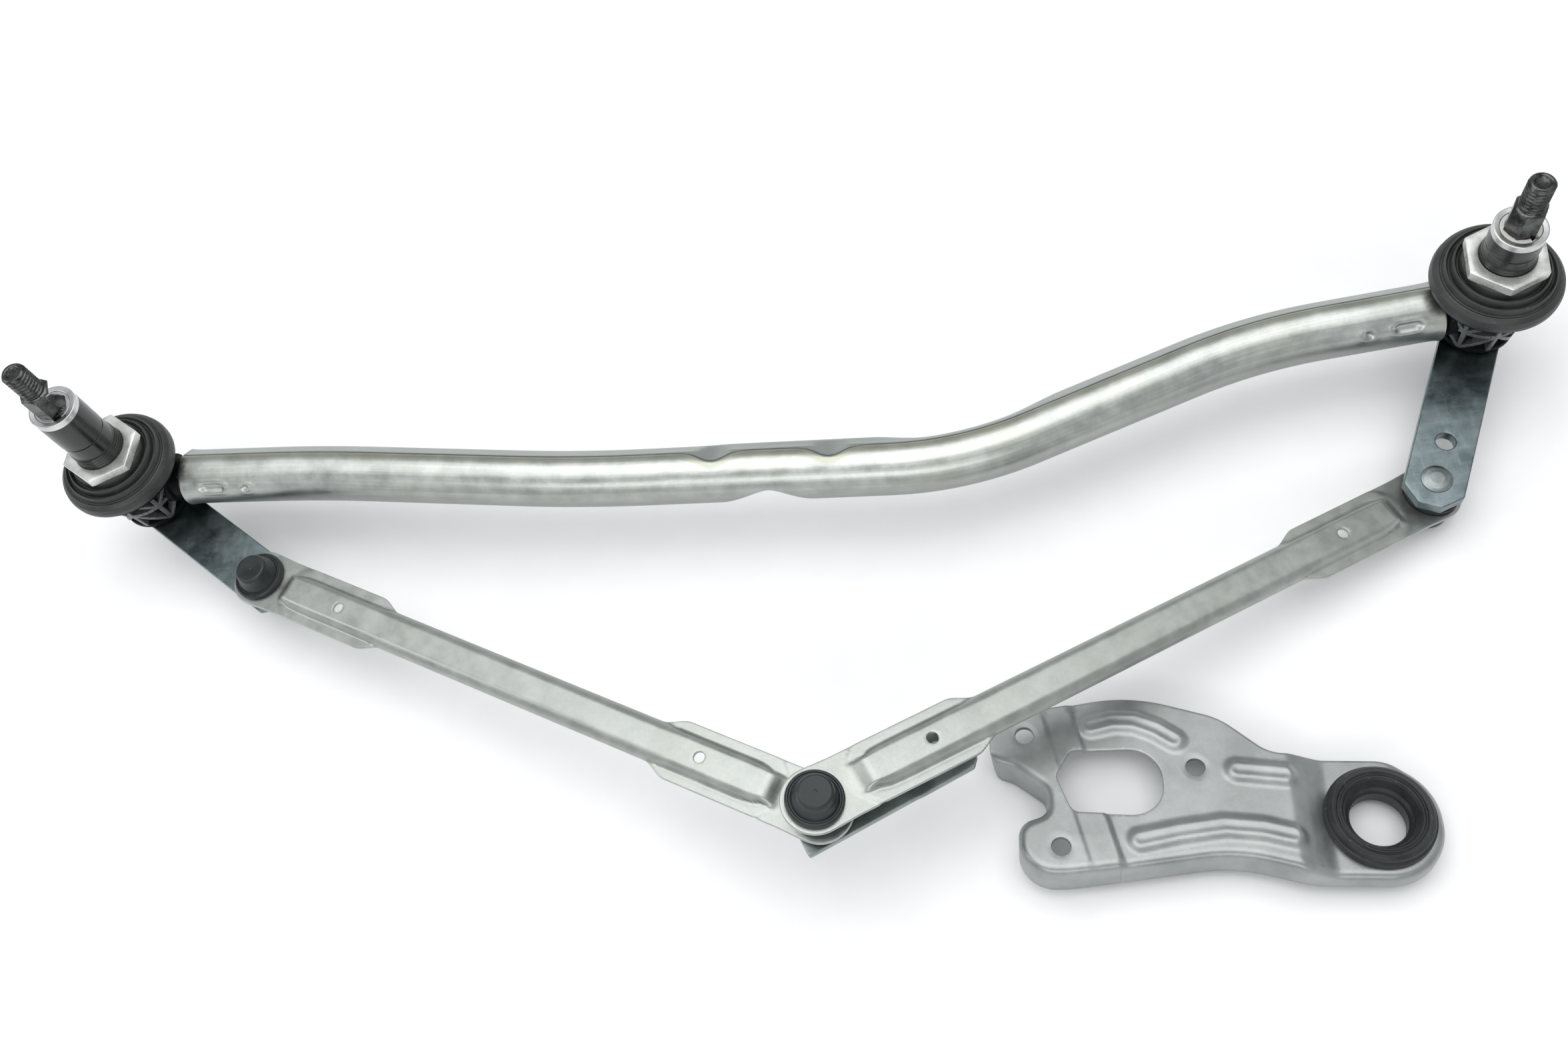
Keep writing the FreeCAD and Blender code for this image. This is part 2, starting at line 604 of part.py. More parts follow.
BRACKET_OUTLINE = (
    # x, y, corner radius, from the upper left ear clockwise
    (-86, 17, 6), (-86, 35, 7), (-32, 45, 60), (1, 35, 25), (18, 20, 14), (77, 19, 22),
    (77, -27, 22), (30, -27, 40), (2, -20, 60), (-58, -29, 60), (-76, -29, 13), (-76, -9, 7),
    (-65, -5, 5), (-65, 5, 6), (-77, 14, 12),
)
BRACKET_WINDOW = ((-55.5, 21, 4), (-61.5, 10, 4), (-56, -4.5, 4), (-22, -5.5, 12), (-22, 22, 12))
BRACKET_HOLES = ((-72.6, 27), (-60.7, -18.5), (-9.5, 14.3))
GROMMET_MIDDLE = Vector(54.3, -4, 0)
STEP_START = 27
STEP_END = 34


def flat_face(corners):
    points = [Vector(x, y, 0) for x, y, _ in corners]
    return Part.Face(rounded_wire(points, [radius for _, _, radius in corners], closed=True))


def upright_prism(face, bottom, top):
    solid = face.copy()
    solid.translate(Vector(0, 0, bottom))
    return solid.extrude(Vector(0, 0, top - bottom))


def side_slab(corners):
    """Solid that is wider than the bracket, with the given outline in X and Z."""
    wide = 80
    points = [Vector(x, -wide, z) for x, z in corners]
    return Part.Face(Part.makePolygon(points + points[:1])).extrude(Vector(0, 2 * wide, 0))


def make_bracket(label, place):
    """Pressed plate with a stepped pad, a window, three screw holes and a wall along its near side."""
    sheet_metal = size("bracket_sheet")
    drop = size("pad_drop")
    depth = size("bracket_wall")
    near_side = 18
    far = 100
    outline = flat_face(BRACKET_OUTLINE)
    blank = upright_prism(outline, -depth, 1)
    top_line = ((-far, 0), (STEP_START, 0), (STEP_END, -drop), (far, -drop))
    under_line = tuple((x, z - sheet_metal) for x, z in reversed(top_line))
    plate = blank.common(side_slab(top_line + under_line))
    inside = upright_prism(outline.makeOffset2D(-sheet_metal), -depth - 1, 2)
    wall = blank.cut(inside).common(side_slab(top_line + ((far, -depth), (-far, -depth))))
    wall = wall.common(Part.makeBox(2 * far, 2 * far, 2 * depth, Vector(-far, near_side - 2 * far, -depth)))
    bracket = plate.fuse(wall).cut(upright_prism(flat_face(BRACKET_WINDOW), -depth, 1))
    for x, y in BRACKET_HOLES:
        bracket = bracket.cut(Part.makeCylinder(size("bracket_hole") / 2, 2 * depth, Vector(x, y, -depth)))
    pad_hole = Part.makeCylinder(size("grommet_groove"), 2 * depth, GROMMET_MIDDLE - Vector(0, 0, depth))
    solid = doc.addObject("Part::Feature", "bracket")
    solid.Shape = bracket.cut(pad_hole).removeSplitter()
    return piece(solid, label, place)


def make_grommet(label, place):
    """Rubber ring whose groove holds the pad's edge."""
    drop = "-pad_drop"
    under = "-pad_drop - bracket_sheet"
    return turned_piece(label, (
        ("grommet_bore", f"{under} - 4.5"), ("grommet_groove + 1", f"{under} - 4.5"),
        ("grommet_groove + 1.5", under), ("grommet_groove", under), ("grommet_groove", drop),
        ("grommet_radius", drop), ("grommet_radius", f"{drop} + 4"), ("grommet_radius - 2", f"{drop} + 6.5"),
        ("grommet_radius - 5", f"{drop} + 6.5"), ("grommet_bore + 1.5", f"{drop} + 3"),
        ("grommet_bore", f"{drop} + 1")), place)


# ---------------------------------------------------------------- the whole linkage

make_pivot("left", LEFT_PIVOT, "left_spigot_offset", size("left_tube_turn"), size("left_lever_turn"))
make_pivot("right", RIGHT_PIVOT, "right_spigot_offset", size("right_tube_turn"), size("right_lever_turn"))
make_frame_tube("frame_tube")

flip = Rotation(Vector(1, 0, 0), 180)
make_lever_stud("left_lever_ball_stud", Placement(LEFT_BALL, Rotation()), "left_ball_rise")
make_lever_stud("right_lever_ball_stud", Placement(RIGHT_BALL, flip), "right_ball_drop")
make_crank_stud("crank_ball_stud", Placement(LOW_BALL, Rotation()))
crank_place = Placement(Vector(LOW_BALL.x, LOW_BALL.y, 0), Rotation(Vector(0, 0, 1), size("crank_turn")))
make_crank_arm("motor_crank_arm", crank_place)

below = -number("rod_depth + rod_sheet / 2")
left_rod_place, left_rod_length = along(LEFT_BALL, LOW_BALL, below, below)
right_rod_place, right_rod_length = along(HIGH_BALL, RIGHT_BALL, below, -below)
left_tilt = left_rod_place.Rotation
right_tilt = right_rod_place.Rotation
make_rod("left_link_rod", left_rod_place, f"{left_rod_length}", "socket_body", (46, left_rod_length - 50))
make_rod("right_link_rod", right_rod_place, f"{right_rod_length}", "socket_flange", (48, right_rod_length - 46))

make_cap_socket("left_link_lever_socket", Placement(LEFT_BALL, left_tilt))
make_ring_socket("left_link_crank_socket", Placement(LOW_BALL, left_tilt))
make_cap_socket("right_link_crank_socket", Placement(HIGH_BALL, right_tilt))
make_wide_socket("right_link_lever_socket", Placement(RIGHT_BALL, right_tilt.multiply(flip)))
make_dust_ring("left_link_dust_ring", Placement(LEFT_BALL, left_tilt))
make_dust_ring("crank_dust_ring", Placement(LOW_BALL, left_tilt))
make_dust_ring("right_link_dust_ring", Placement(HIGH_BALL, right_tilt))

lean = Rotation(Vector(0, 0, 1), size("bracket_turn")).multiply(Rotation(Vector(1, 0, 0), size("bracket_lean")))
bracket = make_bracket("motor_bracket", Placement(Vector(), lean))
rise = size("floor_level") - bracket.Shape.BoundBox.ZMin
bracket_place = Placement(Vector(size("bracket_x"), size("bracket_y"), rise), lean)
bracket.Placement = bracket_place
make_grommet("bracket_grommet", bracket_place.multiply(Placement(GROMMET_MIDDLE, Rotation())))

doc.recompute()
for item in doc.Objects:
    faults = [state for state in item.State if state in ("Invalid", "Error")]
    assert not faults, f"{item.Label}: {faults}"

os.makedirs("parts", exist_ok=True)
for item in PIECES:
    assert not item.Shape.isNull() and item.Shape.isValid(), item.Label
    assert item.Shape.Solids, item.Label
    item.Shape.exportStep(f"parts/{item.Label}.step")
print(len(PIECES), "pieces")
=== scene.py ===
import json
import math

import bmesh
import bpy
import numpy as np
from mathutils import Euler, Matrix, Vector
from mathutils.geometry import delaunay_2d_cdt


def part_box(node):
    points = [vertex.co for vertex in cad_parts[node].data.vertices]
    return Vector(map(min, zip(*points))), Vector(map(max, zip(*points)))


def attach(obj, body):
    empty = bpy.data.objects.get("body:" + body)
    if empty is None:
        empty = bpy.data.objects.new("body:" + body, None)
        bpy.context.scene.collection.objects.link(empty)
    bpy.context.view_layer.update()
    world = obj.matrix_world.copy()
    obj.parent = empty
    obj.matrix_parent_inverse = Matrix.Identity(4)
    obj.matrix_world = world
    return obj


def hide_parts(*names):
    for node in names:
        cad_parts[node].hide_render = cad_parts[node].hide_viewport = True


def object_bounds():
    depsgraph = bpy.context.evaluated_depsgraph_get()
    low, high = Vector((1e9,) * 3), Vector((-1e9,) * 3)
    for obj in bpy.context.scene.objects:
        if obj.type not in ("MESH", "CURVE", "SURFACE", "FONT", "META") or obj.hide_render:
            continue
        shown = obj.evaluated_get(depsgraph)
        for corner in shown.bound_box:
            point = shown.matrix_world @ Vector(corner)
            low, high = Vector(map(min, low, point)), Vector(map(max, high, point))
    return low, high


# Looks of the windshield wiper linkage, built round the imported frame.
# Lengths in this file are millimetres in the frame's own axes, and MM turns them into metres.

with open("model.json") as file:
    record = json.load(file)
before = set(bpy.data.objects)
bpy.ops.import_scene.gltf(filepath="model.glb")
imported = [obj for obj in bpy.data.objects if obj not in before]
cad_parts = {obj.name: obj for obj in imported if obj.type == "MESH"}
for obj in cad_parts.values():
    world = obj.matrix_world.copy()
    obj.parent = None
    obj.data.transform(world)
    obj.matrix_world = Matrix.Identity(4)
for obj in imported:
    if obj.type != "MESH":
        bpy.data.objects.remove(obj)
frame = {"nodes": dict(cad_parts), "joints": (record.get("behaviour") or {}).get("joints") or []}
CAD_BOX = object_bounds()
MM = 0.001
SCENE = bpy.context.scene


# ---------------------------------------------------------------- camera

camera = bpy.data.objects.new("camera", bpy.data.cameras.new("camera"))
SCENE.collection.objects.link(camera)
SCENE.camera = camera
camera.location = (0.3472, -0.3258, 0.4588)
camera.rotation_euler = Euler([math.radians(turn) for turn in (26.685, 8.501, -3.667)])
camera.data.lens = 32.91
camera.data.clip_start = 0.01


# ---------------------------------------------------------------- places read from the frame

def corner_mm(node, side):
    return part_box(node)[side] / MM


def middle_mm(node):
    return (corner_mm(node, 0) + corner_mm(node, 1)) / 2


JOINT_AT = {joint["name"]: Vector(joint["pos_m"]) / MM for joint in frame["joints"] if "pos_m" in joint}
BALL = 5.0
LEFT_PIVOT = JOINT_AT["left_pivot"]
RIGHT_PIVOT = JOINT_AT["right_pivot"]
LEFT_BALL = JOINT_AT["left_lever_ball"]
LOW_BALL = JOINT_AT["crank_low_ball"]
HIGH_BALL = JOINT_AT["crank_top_ball"]
RIGHT_BALL = middle_mm("right_lever_ball_stud")
RIGHT_BALL.z = corner_mm("right_lever_ball_stud", 0).z + BALL
NUT_SEAT = corner_mm("left_pivot_nut", 0).z
NUT_TOP = corner_mm("left_pivot_nut", 1).z
SEAL_BOTTOM = corner_mm("left_body_seal", 0).z
HOUSING_BOTTOM = corner_mm("left_pivot_housing", 0).z
TUBE_LEVEL = middle_mm("frame_tube").z
LEVER_TOP = corner_mm("left_lever", 1).z
CRANK_TOP = corner_mm("motor_crank_arm", 1).z


def turn_z(degrees):
    return Matrix.Rotation(math.radians(degrees), 4, "Z")


def at(point, degrees=0.0):
    return Matrix.Translation(point) @ turn_z(degrees)


def bearing(start, end):
    return math.degrees(math.atan2(end.y - start.y, end.x - start.x))


def along(start, end, lift_start, lift_end):
    """Matrix whose X runs from start to end, each moved along the matrix's own Z by its lift, and the length."""
    upward = Vector((0, 0, 1))
    for _ in range(8):
        low = start + upward * lift_start
        run = end + upward * lift_end - low
        side = Vector((0, 0, 1)).cross(run).normalized()
        upward = run.cross(side).normalized()
    turn = Matrix((run.normalized(), side, upward)).transposed().to_4x4()
    return Matrix.Translation(low) @ turn, run.length


# ---------------------------------------------------------------- mesh building

def add_piece(name, points, faces, place, body, slot, material, nodes=(), sharp=32, weighted=True, uv=None,
              merge=True):
    """One finished piece: points in millimetres in the place's own axes."""
    points = np.asarray(points, float)
    matrix = np.array(place)
    world = (points @ matrix[:3, :3].T + matrix[:3, 3]) * MM
    mesh = bpy.data.meshes.new(name)
    mesh.from_pydata(world.tolist(), [], [list(map(int, face)) for face in faces])
    work = bmesh.new()
    work.from_mesh(mesh)
    if merge and uv is None:
        bmesh.ops.remove_doubles(work, verts=work.verts, dist=0.002 * MM)
    bmesh.ops.recalc_face_normals(work, faces=work.faces)
    work.to_mesh(mesh)
    work.free()
    mesh.shade_smooth()
    mesh.set_sharp_from_angle(angle=math.radians(sharp))
    if uv is not None:
        layer = mesh.uv_layers.new(name="run")
        corners = np.zeros(len(mesh.loops), np.int32)
        mesh.loops.foreach_get("vertex_index", corners)
        flat = (np.asarray(uv, float)[corners] * MM).reshape(-1, 4, 2)
        turn = 24 * math.pi * MM
        split = np.ptp(flat[..., 1], axis=1) > turn / 2
        flat[..., 1] += turn * (split[:, None] & (flat[..., 1] < 0))
        layer.data.foreach_set("uv", flat.ravel())
    mesh.materials.append(material)
    piece = bpy.data.objects.new(name, mesh)
    SCENE.collection.objects.link(piece)
    if weighted:
        piece.modifiers.new("even shading", "WEIGHTED_NORMAL").keep_sharp = True
    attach(piece, body)
    if nodes:
        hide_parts(*nodes)
    return piece


def rounded(corners, radius=0.4, closed=True, steps=4):
    """Profile with every corner turned into a small arc. A corner's third number is its own radius."""
    corners = [tuple(c) for c in corners]
    count = len(corners)
    made = []
    for index, corner in enumerate(corners):
        here = Vector(corner[:2])
        size = corner[2] if len(corner) > 2 else radius
        if size <= 0 or (not closed and index in (0, count - 1)):
            made.append(here)
            continue
        back = Vector(corners[index - 1][:2]) - here
        ahead = Vector(corners[(index + 1) % count][:2]) - here
        half = back.angle(ahead, math.pi) / 2
        if half > math.radians(88):
            made.append(here)
            continue
        reach = min(size / math.tan(half), back.length * 0.46, ahead.length * 0.46)
        start = here + back.normalized() * reach
        end = here + ahead.normalized() * reach
        for step in range(steps + 1):
            share = step / steps
            made.append((1 - share) ** 2 * start + 2 * share * (1 - share) * here + share ** 2 * end)
    return made


def turned(profile, steps=96, closed=True, shape=None):
    """Points and faces of a profile of (radius, height) turned about Z. An open profile runs from pole to pole.
    The shape function may change the radius: it takes radius, height and angle arrays."""
    rows = np.array([[p[0], p[1]] for p in profile], float)
    angles = np.arange(steps) * 2 * math.pi / steps
    radius = np.repeat(rows[:, :1], steps, 1)
    height = np.repeat(rows[:, 1:], steps, 1)
    if shape:
        radius = shape(radius, height, np.repeat(angles[None, :], len(rows), 0))
    points = np.stack([radius * np.cos(angles), radius * np.sin(angles), height], -1).reshape(-1, 3)
    faces = []
    last = len(rows) if closed else len(rows) - 1
    for row in range(last):
        low, high = row * steps, (row + 1) % len(rows) * steps
        for step in range(steps):
            after = (step + 1) % steps
            faces.append((low + step, low + after, high + after, high + step))
    if not closed:
        faces.append(tuple(reversed(range(steps))))
        faces.append(tuple((len(rows) - 1) * steps + step for step in range(steps)))
    return points, faces


def add_turned(name, rows, steps, place, body, slot, material, nodes=(), closed=True, shape=None, **settings):
    points, faces = turned(rows, steps, closed, shape)
    return add_piece(name, points, faces, place, body, slot, material, nodes, **settings)


def ball_rows(first, last, step, lift=0.0):
    """Profile of a ball between two angles from its top, in degrees."""
    turns = [math.radians(t) for t in range(first, last, step)]
    return [(BALL * math.sin(t), lift + BALL * math.cos(t)) for t in turns]


def smooth(value):
    value = np.clip(value, 0, 1)
    return value * value * (3 - 2 * value)


def bell(value):
    return np.exp(-value * value)


def arc_points(outline, spacing):
    """Closed outline of (x, y, radius) corners as evenly spaced points, with true arcs at the corners."""
    count = len(outline)
    path = []
    for index, (x, y, radius) in enumerate(outline):
        here = Vector((x, y))
        back = (Vector(outline[index - 1][:2]) - here).normalized()
        ahead = (Vector(outline[(index + 1) % count][:2]) - here).normalized()
        half = back.angle(ahead) / 2
        if radius <= 0:
            path.append(here)
            continue
        reach = radius / math.tan(half)
        centre = here + (back + ahead).normalized() * (radius / math.sin(half))
        start, end = here + back * reach - centre, here + ahead * reach - centre
        sweep = start.angle_signed(end)
        steps = max(4, int(abs(sweep) * radius / spacing))
        for step in range(steps + 1):
            turn = -sweep * step / steps
            path.append(centre + Matrix.Rotation(turn, 2) @ start)
    dense = []
    for index, point in enumerate(path):
        following = path[(index + 1) % len(path)]
        pieces = max(1, int((following - point).length / spacing))
        dense += [point.lerp(following, step / pieces) for step in range(pieces)]
    return np.array([tuple(point) for point in dense])


def circle(x, y, radius, steps=40):
    turns = np.arange(steps) * 2 * math.pi / steps
    return np.stack([x + radius * np.cos(turns), y + radius * np.sin(turns)], -1)


def runs_left(loop):
    """Whether the loop runs counterclockwise."""
    return np.sum(loop[:, 0] * np.roll(loop[:, 1], -1) - loop[:, 1] * np.roll(loop[:, 0], -1)) > 0


def outward(loop, hole):
    """Unit normals in the plane, pointing away from the metal."""
    run = np.roll(loop, -1, 0) - np.roll(loop, 1, 0)
    run /= np.linalg.norm(run, axis=1)[:, None] + 1e-9
    normal = np.stack([run[:, 1], -run[:, 0]], -1)
    return normal * (1 if runs_left(loop) != hole else -1)


def inside(points, loop):
    x, y = points[:, 0], points[:, 1]
    found = np.zeros(len(points), bool)
    for (x0, y0), (x1, y1) in zip(loop, np.roll(loop, -1, 0)):
        crossing = (y0 > y) != (y1 > y)
        found ^= crossing & (x < (x1 - x0) * (y - y0) / (y1 - y0 + 1e-12) + x0)
    return found


def sheet(loops, cell, surface, rims):
    """Pressed or flat plate. loops[0] is the outline and the rest are holes; cell is the (x, y) mesh spacing.
    surface(x, y) gives the top face's height. rims[i] is a list of (outward offset, depth below the top) rows
    that lead from the top face round the edge to the underside; offset and depth may be arrays round the loop."""
    normals = [outward(loop, index > 0) for index, loop in enumerate(loops)]

    def spot(flat, depth):
        x, y = flat[:, 0], flat[:, 1]
        gap = 0.05
        slope_x = (surface(x + gap, y) - surface(x - gap, y)) / (2 * gap)
        slope_y = (surface(x, y + gap) - surface(x, y - gap)) / (2 * gap)
        normal = np.stack([-slope_x, -slope_y, np.ones_like(x)], -1)
        normal /= np.linalg.norm(normal, axis=1)[:, None]
        depth = np.broadcast_to(depth, x.shape)
        near = np.minimum(depth, 2.0)
        drop = np.stack([0 * x, 0 * x, depth - near], -1)
        return np.stack([x, y, surface(x, y)], -1) - normal * near[:, None] - drop

    def ring(index, row):
        offset, depth = row
        return loops[index] + normals[index] * np.broadcast_to(offset, len(loops[index]))[:, None], depth

    points, faces = [], []

    def fill(row_number, flip):
        """Top face or underside, from the first or last row of each rim."""
        edge_loops = [ring(index, rims[index][row_number])[0] for index in range(len(loops))]
        depth = max(float(np.min(rims[0][row_number][1])), 0.0)
        low, high = edge_loops[0].min(0), edge_loops[0].max(0)
        across = np.arange(low[0] + cell[0] / 2, high[0], cell[0])
        along_y = np.arange(low[1] + cell[1] / 2, high[1], cell[1])
        grid = np.stack(np.meshgrid(across, along_y, indexing="ij"), -1).reshape(-1, 2)
        keep = inside(grid, edge_loops[0])
        for loop in edge_loops[1:]:
            keep &= ~inside(grid, loop)
        grid = grid[keep]
        scale = np.array(cell) * 0.55
        for loop in edge_loops:
            near = np.ones(len(grid), bool)
            for start in range(0, len(grid), 4000):
                part = grid[start:start + 4000]
                gaps = (part[:, None, :] - loop[None, :, :]) / scale
                near[start:start + 4000] = (gaps ** 2).sum(-1).min(1) > 1
            grid = grid[near]
        flat = np.concatenate(edge_loops + [grid])
        edges, start = [], 0
        for loop in edge_loops:
            count = len(loop)
            edges += [(start + step, start + (step + 1) % count) for step in range(count)]
            start += count
        made = delaunay_2d_cdt([Vector(p) for p in flat.tolist()], edges, [], 0, 1e-5, True)
        new_points = np.array([tuple(p) for p in made[0]])
        triangles = np.array([face for face in made[2] if len(face) == 3])
        middles = new_points[triangles].mean(1)
        keep = inside(middles, edge_loops[0])
        for loop in edge_loops[1:]:
            keep &= ~inside(middles, loop)
        base = sum(len(part) for part in points)
        points.append(spot(new_points, depth))
        for triangle in triangles[keep]:
            corners = [base + int(corner) for corner in triangle]
            a, b, c = new_points[triangle]
            if ((b - a)[0] * (c - a)[1] - (b - a)[1] * (c - a)[0] > 0) == flip:
                corners.reverse()
            faces.append(corners)
        where = {}
        for new, old in enumerate(made[3]):
            for source in old:
                where[source] = base + new
        starts = np.cumsum([0] + [len(loop) for loop in edge_loops])
        return [[where[starts[index] + step] for step in range(len(loop))]
                for index, loop in enumerate(edge_loops)]

    tops = fill(0, False)
    bottoms = fill(-1, True)
    for index, loop in enumerate(loops):
        rows = [tops[index]]
        for row in rims[index][1:-1]:
            flat, depth = ring(index, row)
            base = sum(len(part) for part in points)
            points.append(spot(flat, depth))
            rows.append([base + step for step in range(len(loop))])
        rows.append(bottoms[index])
        forward = runs_left(loop) != (index > 0)
        for upper, lower in zip(rows, rows[1:]):
            for step in range(len(loop)):
                after = (step + 1) % len(loop)
                quad = [upper[step], lower[step], lower[after], upper[after]]
                faces.append(quad if forward else quad[::-1])
    return np.concatenate(points), faces


def plain_rim(thickness, edge):
    """Square edge with both corners rounded, inset so that the loop stays the piece's true outline."""
    turns = [math.radians(step) for step in (0, 30, 60, 90)]
    upper = [(-edge + edge * math.sin(t), edge - edge * math.cos(t)) for t in turns]
    return upper + [(offset, thickness - depth) for offset, depth in reversed(upper)]


# ---------------------------------------------------------------- materials

class Surface:
    """A node material, written from its colour inputs to its shader."""

    def __init__(self, name, metallic, specular=0.5):
        self.material = bpy.data.materials.new(name)
        self.material.use_nodes = True
        self.tree = self.material.node_tree
        self.shader = self.tree.nodes["Principled BSDF"]
        self.shader.inputs["Metallic"].default_value = metallic
        self.shader.inputs["Specular IOR Level"].default_value = specular
        self.place = self.tree.nodes.new("ShaderNodeTexCoord").outputs["Object"]

    def put(self, socket, value):
        """Link another node's output, or set a constant."""
        if isinstance(value, bpy.types.NodeSocket):
            self.tree.links.new(value, socket)
        elif socket.type == "RGBA":
            socket.default_value = (*value, 1.0)
        else:
            socket.default_value = value

    def node(self, kind, inputs=(), **settings):
        made = self.tree.nodes.new("ShaderNode" + kind)
        for key, value in settings.items():
            setattr(made, key, value)
        for key, value in dict(inputs).items():
            self.put(made.inputs[key], value)
        return made

    def stretched(self, scale, place=None):
        return self.node("Mapping", {"Vector": place or self.place, "Scale": scale}).outputs[0]

    def noise(self, scale, detail=4.0, rough=0.55, place=None):
        inputs = {"Vector": place or self.place, "Scale": scale, "Detail": detail, "Roughness": rough}
        return self.node("TexNoise", inputs).outputs["Fac"]

    def between(self, value, low, high, to_low=0.0, to_high=1.0):
        inputs = {"Value": value, "From Min": low, "From Max": high, "To Min": to_low, "To Max": to_high}
        return self.node("MapRange", inputs).outputs[0]

    def mix(self, share, first, second):
        made = self.tree.nodes.new("ShaderNodeMix")
        made.data_type = "RGBA"
        for index, value in ((0, share), (6, first), (7, second)):
            self.put(made.inputs[index], value)
        return made.outputs[2]

    def math(self, operation, first, second=0.0):
        return self.node("Math", {0: first, 1: second}, operation=operation).outputs[0]

    def bump(self, *layers):
        """Layers are (height socket, distance in mm)."""
        normal = None
        for height, distance in layers:
            inputs = {"Height": height, "Distance": distance * MM, "Strength": 1.0}
            if normal is not None:
                inputs["Normal"] = normal
            normal = self.node("Bump", inputs).outputs[0]
        self.tree.links.new(normal, self.shader.inputs["Normal"])

    def finish(self, colour, roughness):
        self.put(self.shader.inputs["Base Color"], colour)
        self.put(self.shader.inputs["Roughness"], roughness)
        return self.material


def make_zinc(name, light, dark, tint, rough, mottle, fine=900.0, tint_share=0.35, drawn=None, bump=0.02,
              metallic=1.0, painted_bands=(), scratches=0.0):
    """Zinc plate: cloudy light and dark, a faint warm tint in patches, fine grain, and draw lines if asked, with
    strips of painted shade and painted reflection round the run if given.
    """
    made = Surface(name, metallic)
    cloud = made.noise(mottle, 6.0, 0.6)
    grain = made.noise(fine, 3.0, 0.6)
    colour = made.mix(made.between(cloud, 0.36, 0.64), dark, light)
    patch = made.between(made.noise(mottle * 0.37, 3.0), 0.5, 0.68, 0.0, tint_share)
    colour = made.mix(patch, colour, tint)
    specks = made.between(made.noise(fine * 0.45, 2.0, 0.7), 0.66, 0.76, 0.0, 0.0 if scratches else 0.12)
    colour = made.mix(specks, colour, tuple(value * 0.55 for value in dark))
    for scale in ((45.0, 330.0, 45.0), (290.0, 60.0, 60.0)) if scratches else ():
        streak = made.between(made.noise(1.0, 3.0, 0.62, made.stretched(scale)), 0.52, 0.74, 0.0, scratches)
        colour = made.mix(streak, colour, tuple(value * 1.7 for value in light))
    roughness = made.between(made.math("ADD", cloud, made.math("MULTIPLY", grain, 0.6)), 0.5, 1.1,
                             rough - 0.07, rough + 0.1)
    layers = [(grain, bump), (cloud, bump * 2)]
    if drawn:
        run = made.node("UVMap", uv_map="run").outputs[0]
        lines = made.noise(1.0, 3.0, 0.6, made.stretched((drawn[0], drawn[1], 1.0), run))
        colour = made.mix(made.between(lines, 0.4, 0.6, 0.0, 0.22), colour, tuple(v * 0.6 for v in dark))
        layers.append((lines, bump * 1.2))
        around = made.node("SeparateXYZ", {0: run}).outputs[1]
        # Each row paints shade or a reflection round the run into the colour: light and shade, not the zinc's own
        # colour.
        for low, high, soft, painted_colour, share in painted_bands:
            rising = made.between(around, (low - soft) * MM, (low + soft) * MM, 0.0, share)
            falling = made.between(around, (high - soft) * MM, (high + soft) * MM, 1.0, 0.0)
            colour = made.mix(made.math("MULTIPLY", rising, falling), colour, painted_colour)
    made.bump(*layers)
    return made.finish(colour, roughness)


def make_black(name, base, lift, rough, grain_scale=1400.0, bump=0.03, dust=0.15, specular=0.4):
    """Black plastic or rubber: moulded grain, a little dust and rubbed lighter patches."""
    made = Surface(name, 0.0, specular)
    grain = made.noise(grain_scale, 3.0, 0.6)
    cloud = made.noise(70.0, 5.0, 0.6)
    colour = made.mix(made.between(cloud, 0.4, 0.68), base, lift)
    colour = made.mix(made.between(made.noise(520.0, 2.0, 0.7), 0.64, 0.74, 0.0, dust), colour,
                      (0.32, 0.32, 0.31))
    roughness = made.between(cloud, 0.35, 0.65, rough - 0.06, rough + 0.1)
    made.bump((grain, bump), (cloud, bump * 2))
    return made.finish(colour, roughness)


def make_oiled(name, light, dark, rough):
    """Machined steel with oil in its hollows."""
    made = Surface(name, 1.0)
    cloud = made.noise(260.0, 5.0, 0.65)
    rings = made.noise(1.0, 2.0, 0.5, made.stretched((300.0, 300.0, 4200.0)))
    colour = made.mix(made.between(cloud, 0.35, 0.62), dark, light)
    made.bump((rings, 0.008), (cloud, 0.012))
    return made.finish(colour, made.between(cloud, 0.3, 0.7, rough - 0.08, rough + 0.14))


# Strips of painted shade and painted reflection that run along the tube: millimetres round it from its top towards
# the front, softness, colour, share. The first is painted shade on the lower front, the second a painted dark line
# of shade along the crease, the third a painted olive reflection, the fourth painted shade on the flat strip.
TUBE_PAINTED_LIGHT_BANDS = ((15.0, 33.0, 4.0, (0.27, 0.28, 0.27), 0.7), (-5.5, -4.6, 0.35, (0.08, 0.09, 0.08), 0.85),
              (-4.2, -1.2, 0.5, (0.33, 0.34, 0.24), 0.55), (-14.0, -5.8, 0.5, (0.33, 0.36, 0.34), 0.75))
TUBE_ZINC = make_zinc("tube_zinc", (0.60, 0.62, 0.59), (0.42, 0.44, 0.42), (0.46, 0.47, 0.36), 0.34,
                      mottle=95.0, drawn=(9.0, 900.0), tint_share=0.3, painted_bands=TUBE_PAINTED_LIGHT_BANDS)
ROD_STEEL = make_zinc("rod_steel", (0.44, 0.46, 0.435), (0.35, 0.37, 0.35), (0.40, 0.41, 0.35), 0.37,
                      mottle=130.0, fine=1200.0, tint_share=0.2, metallic=0.9)
LEVER_ZINC = make_zinc("lever_zinc", (0.205, 0.25, 0.255), (0.105, 0.135, 0.145), (0.19, 0.22, 0.18), 0.33,
                       mottle=85.0, fine=1000.0, tint_share=0.35, bump=0.014, scratches=0.24)
CRANK_ZINC = make_zinc("crank_zinc", (0.33, 0.37, 0.37), (0.19, 0.22, 0.22), (0.34, 0.37, 0.31), 0.33,
                       mottle=80.0, fine=800.0)
NUT_ZINC = make_zinc("nut_zinc", (0.80, 0.81, 0.78), (0.60, 0.61, 0.59), (0.60, 0.58, 0.50), 0.27,
                     mottle=160.0, tint_share=0.15, bump=0.004, metallic=0.62)
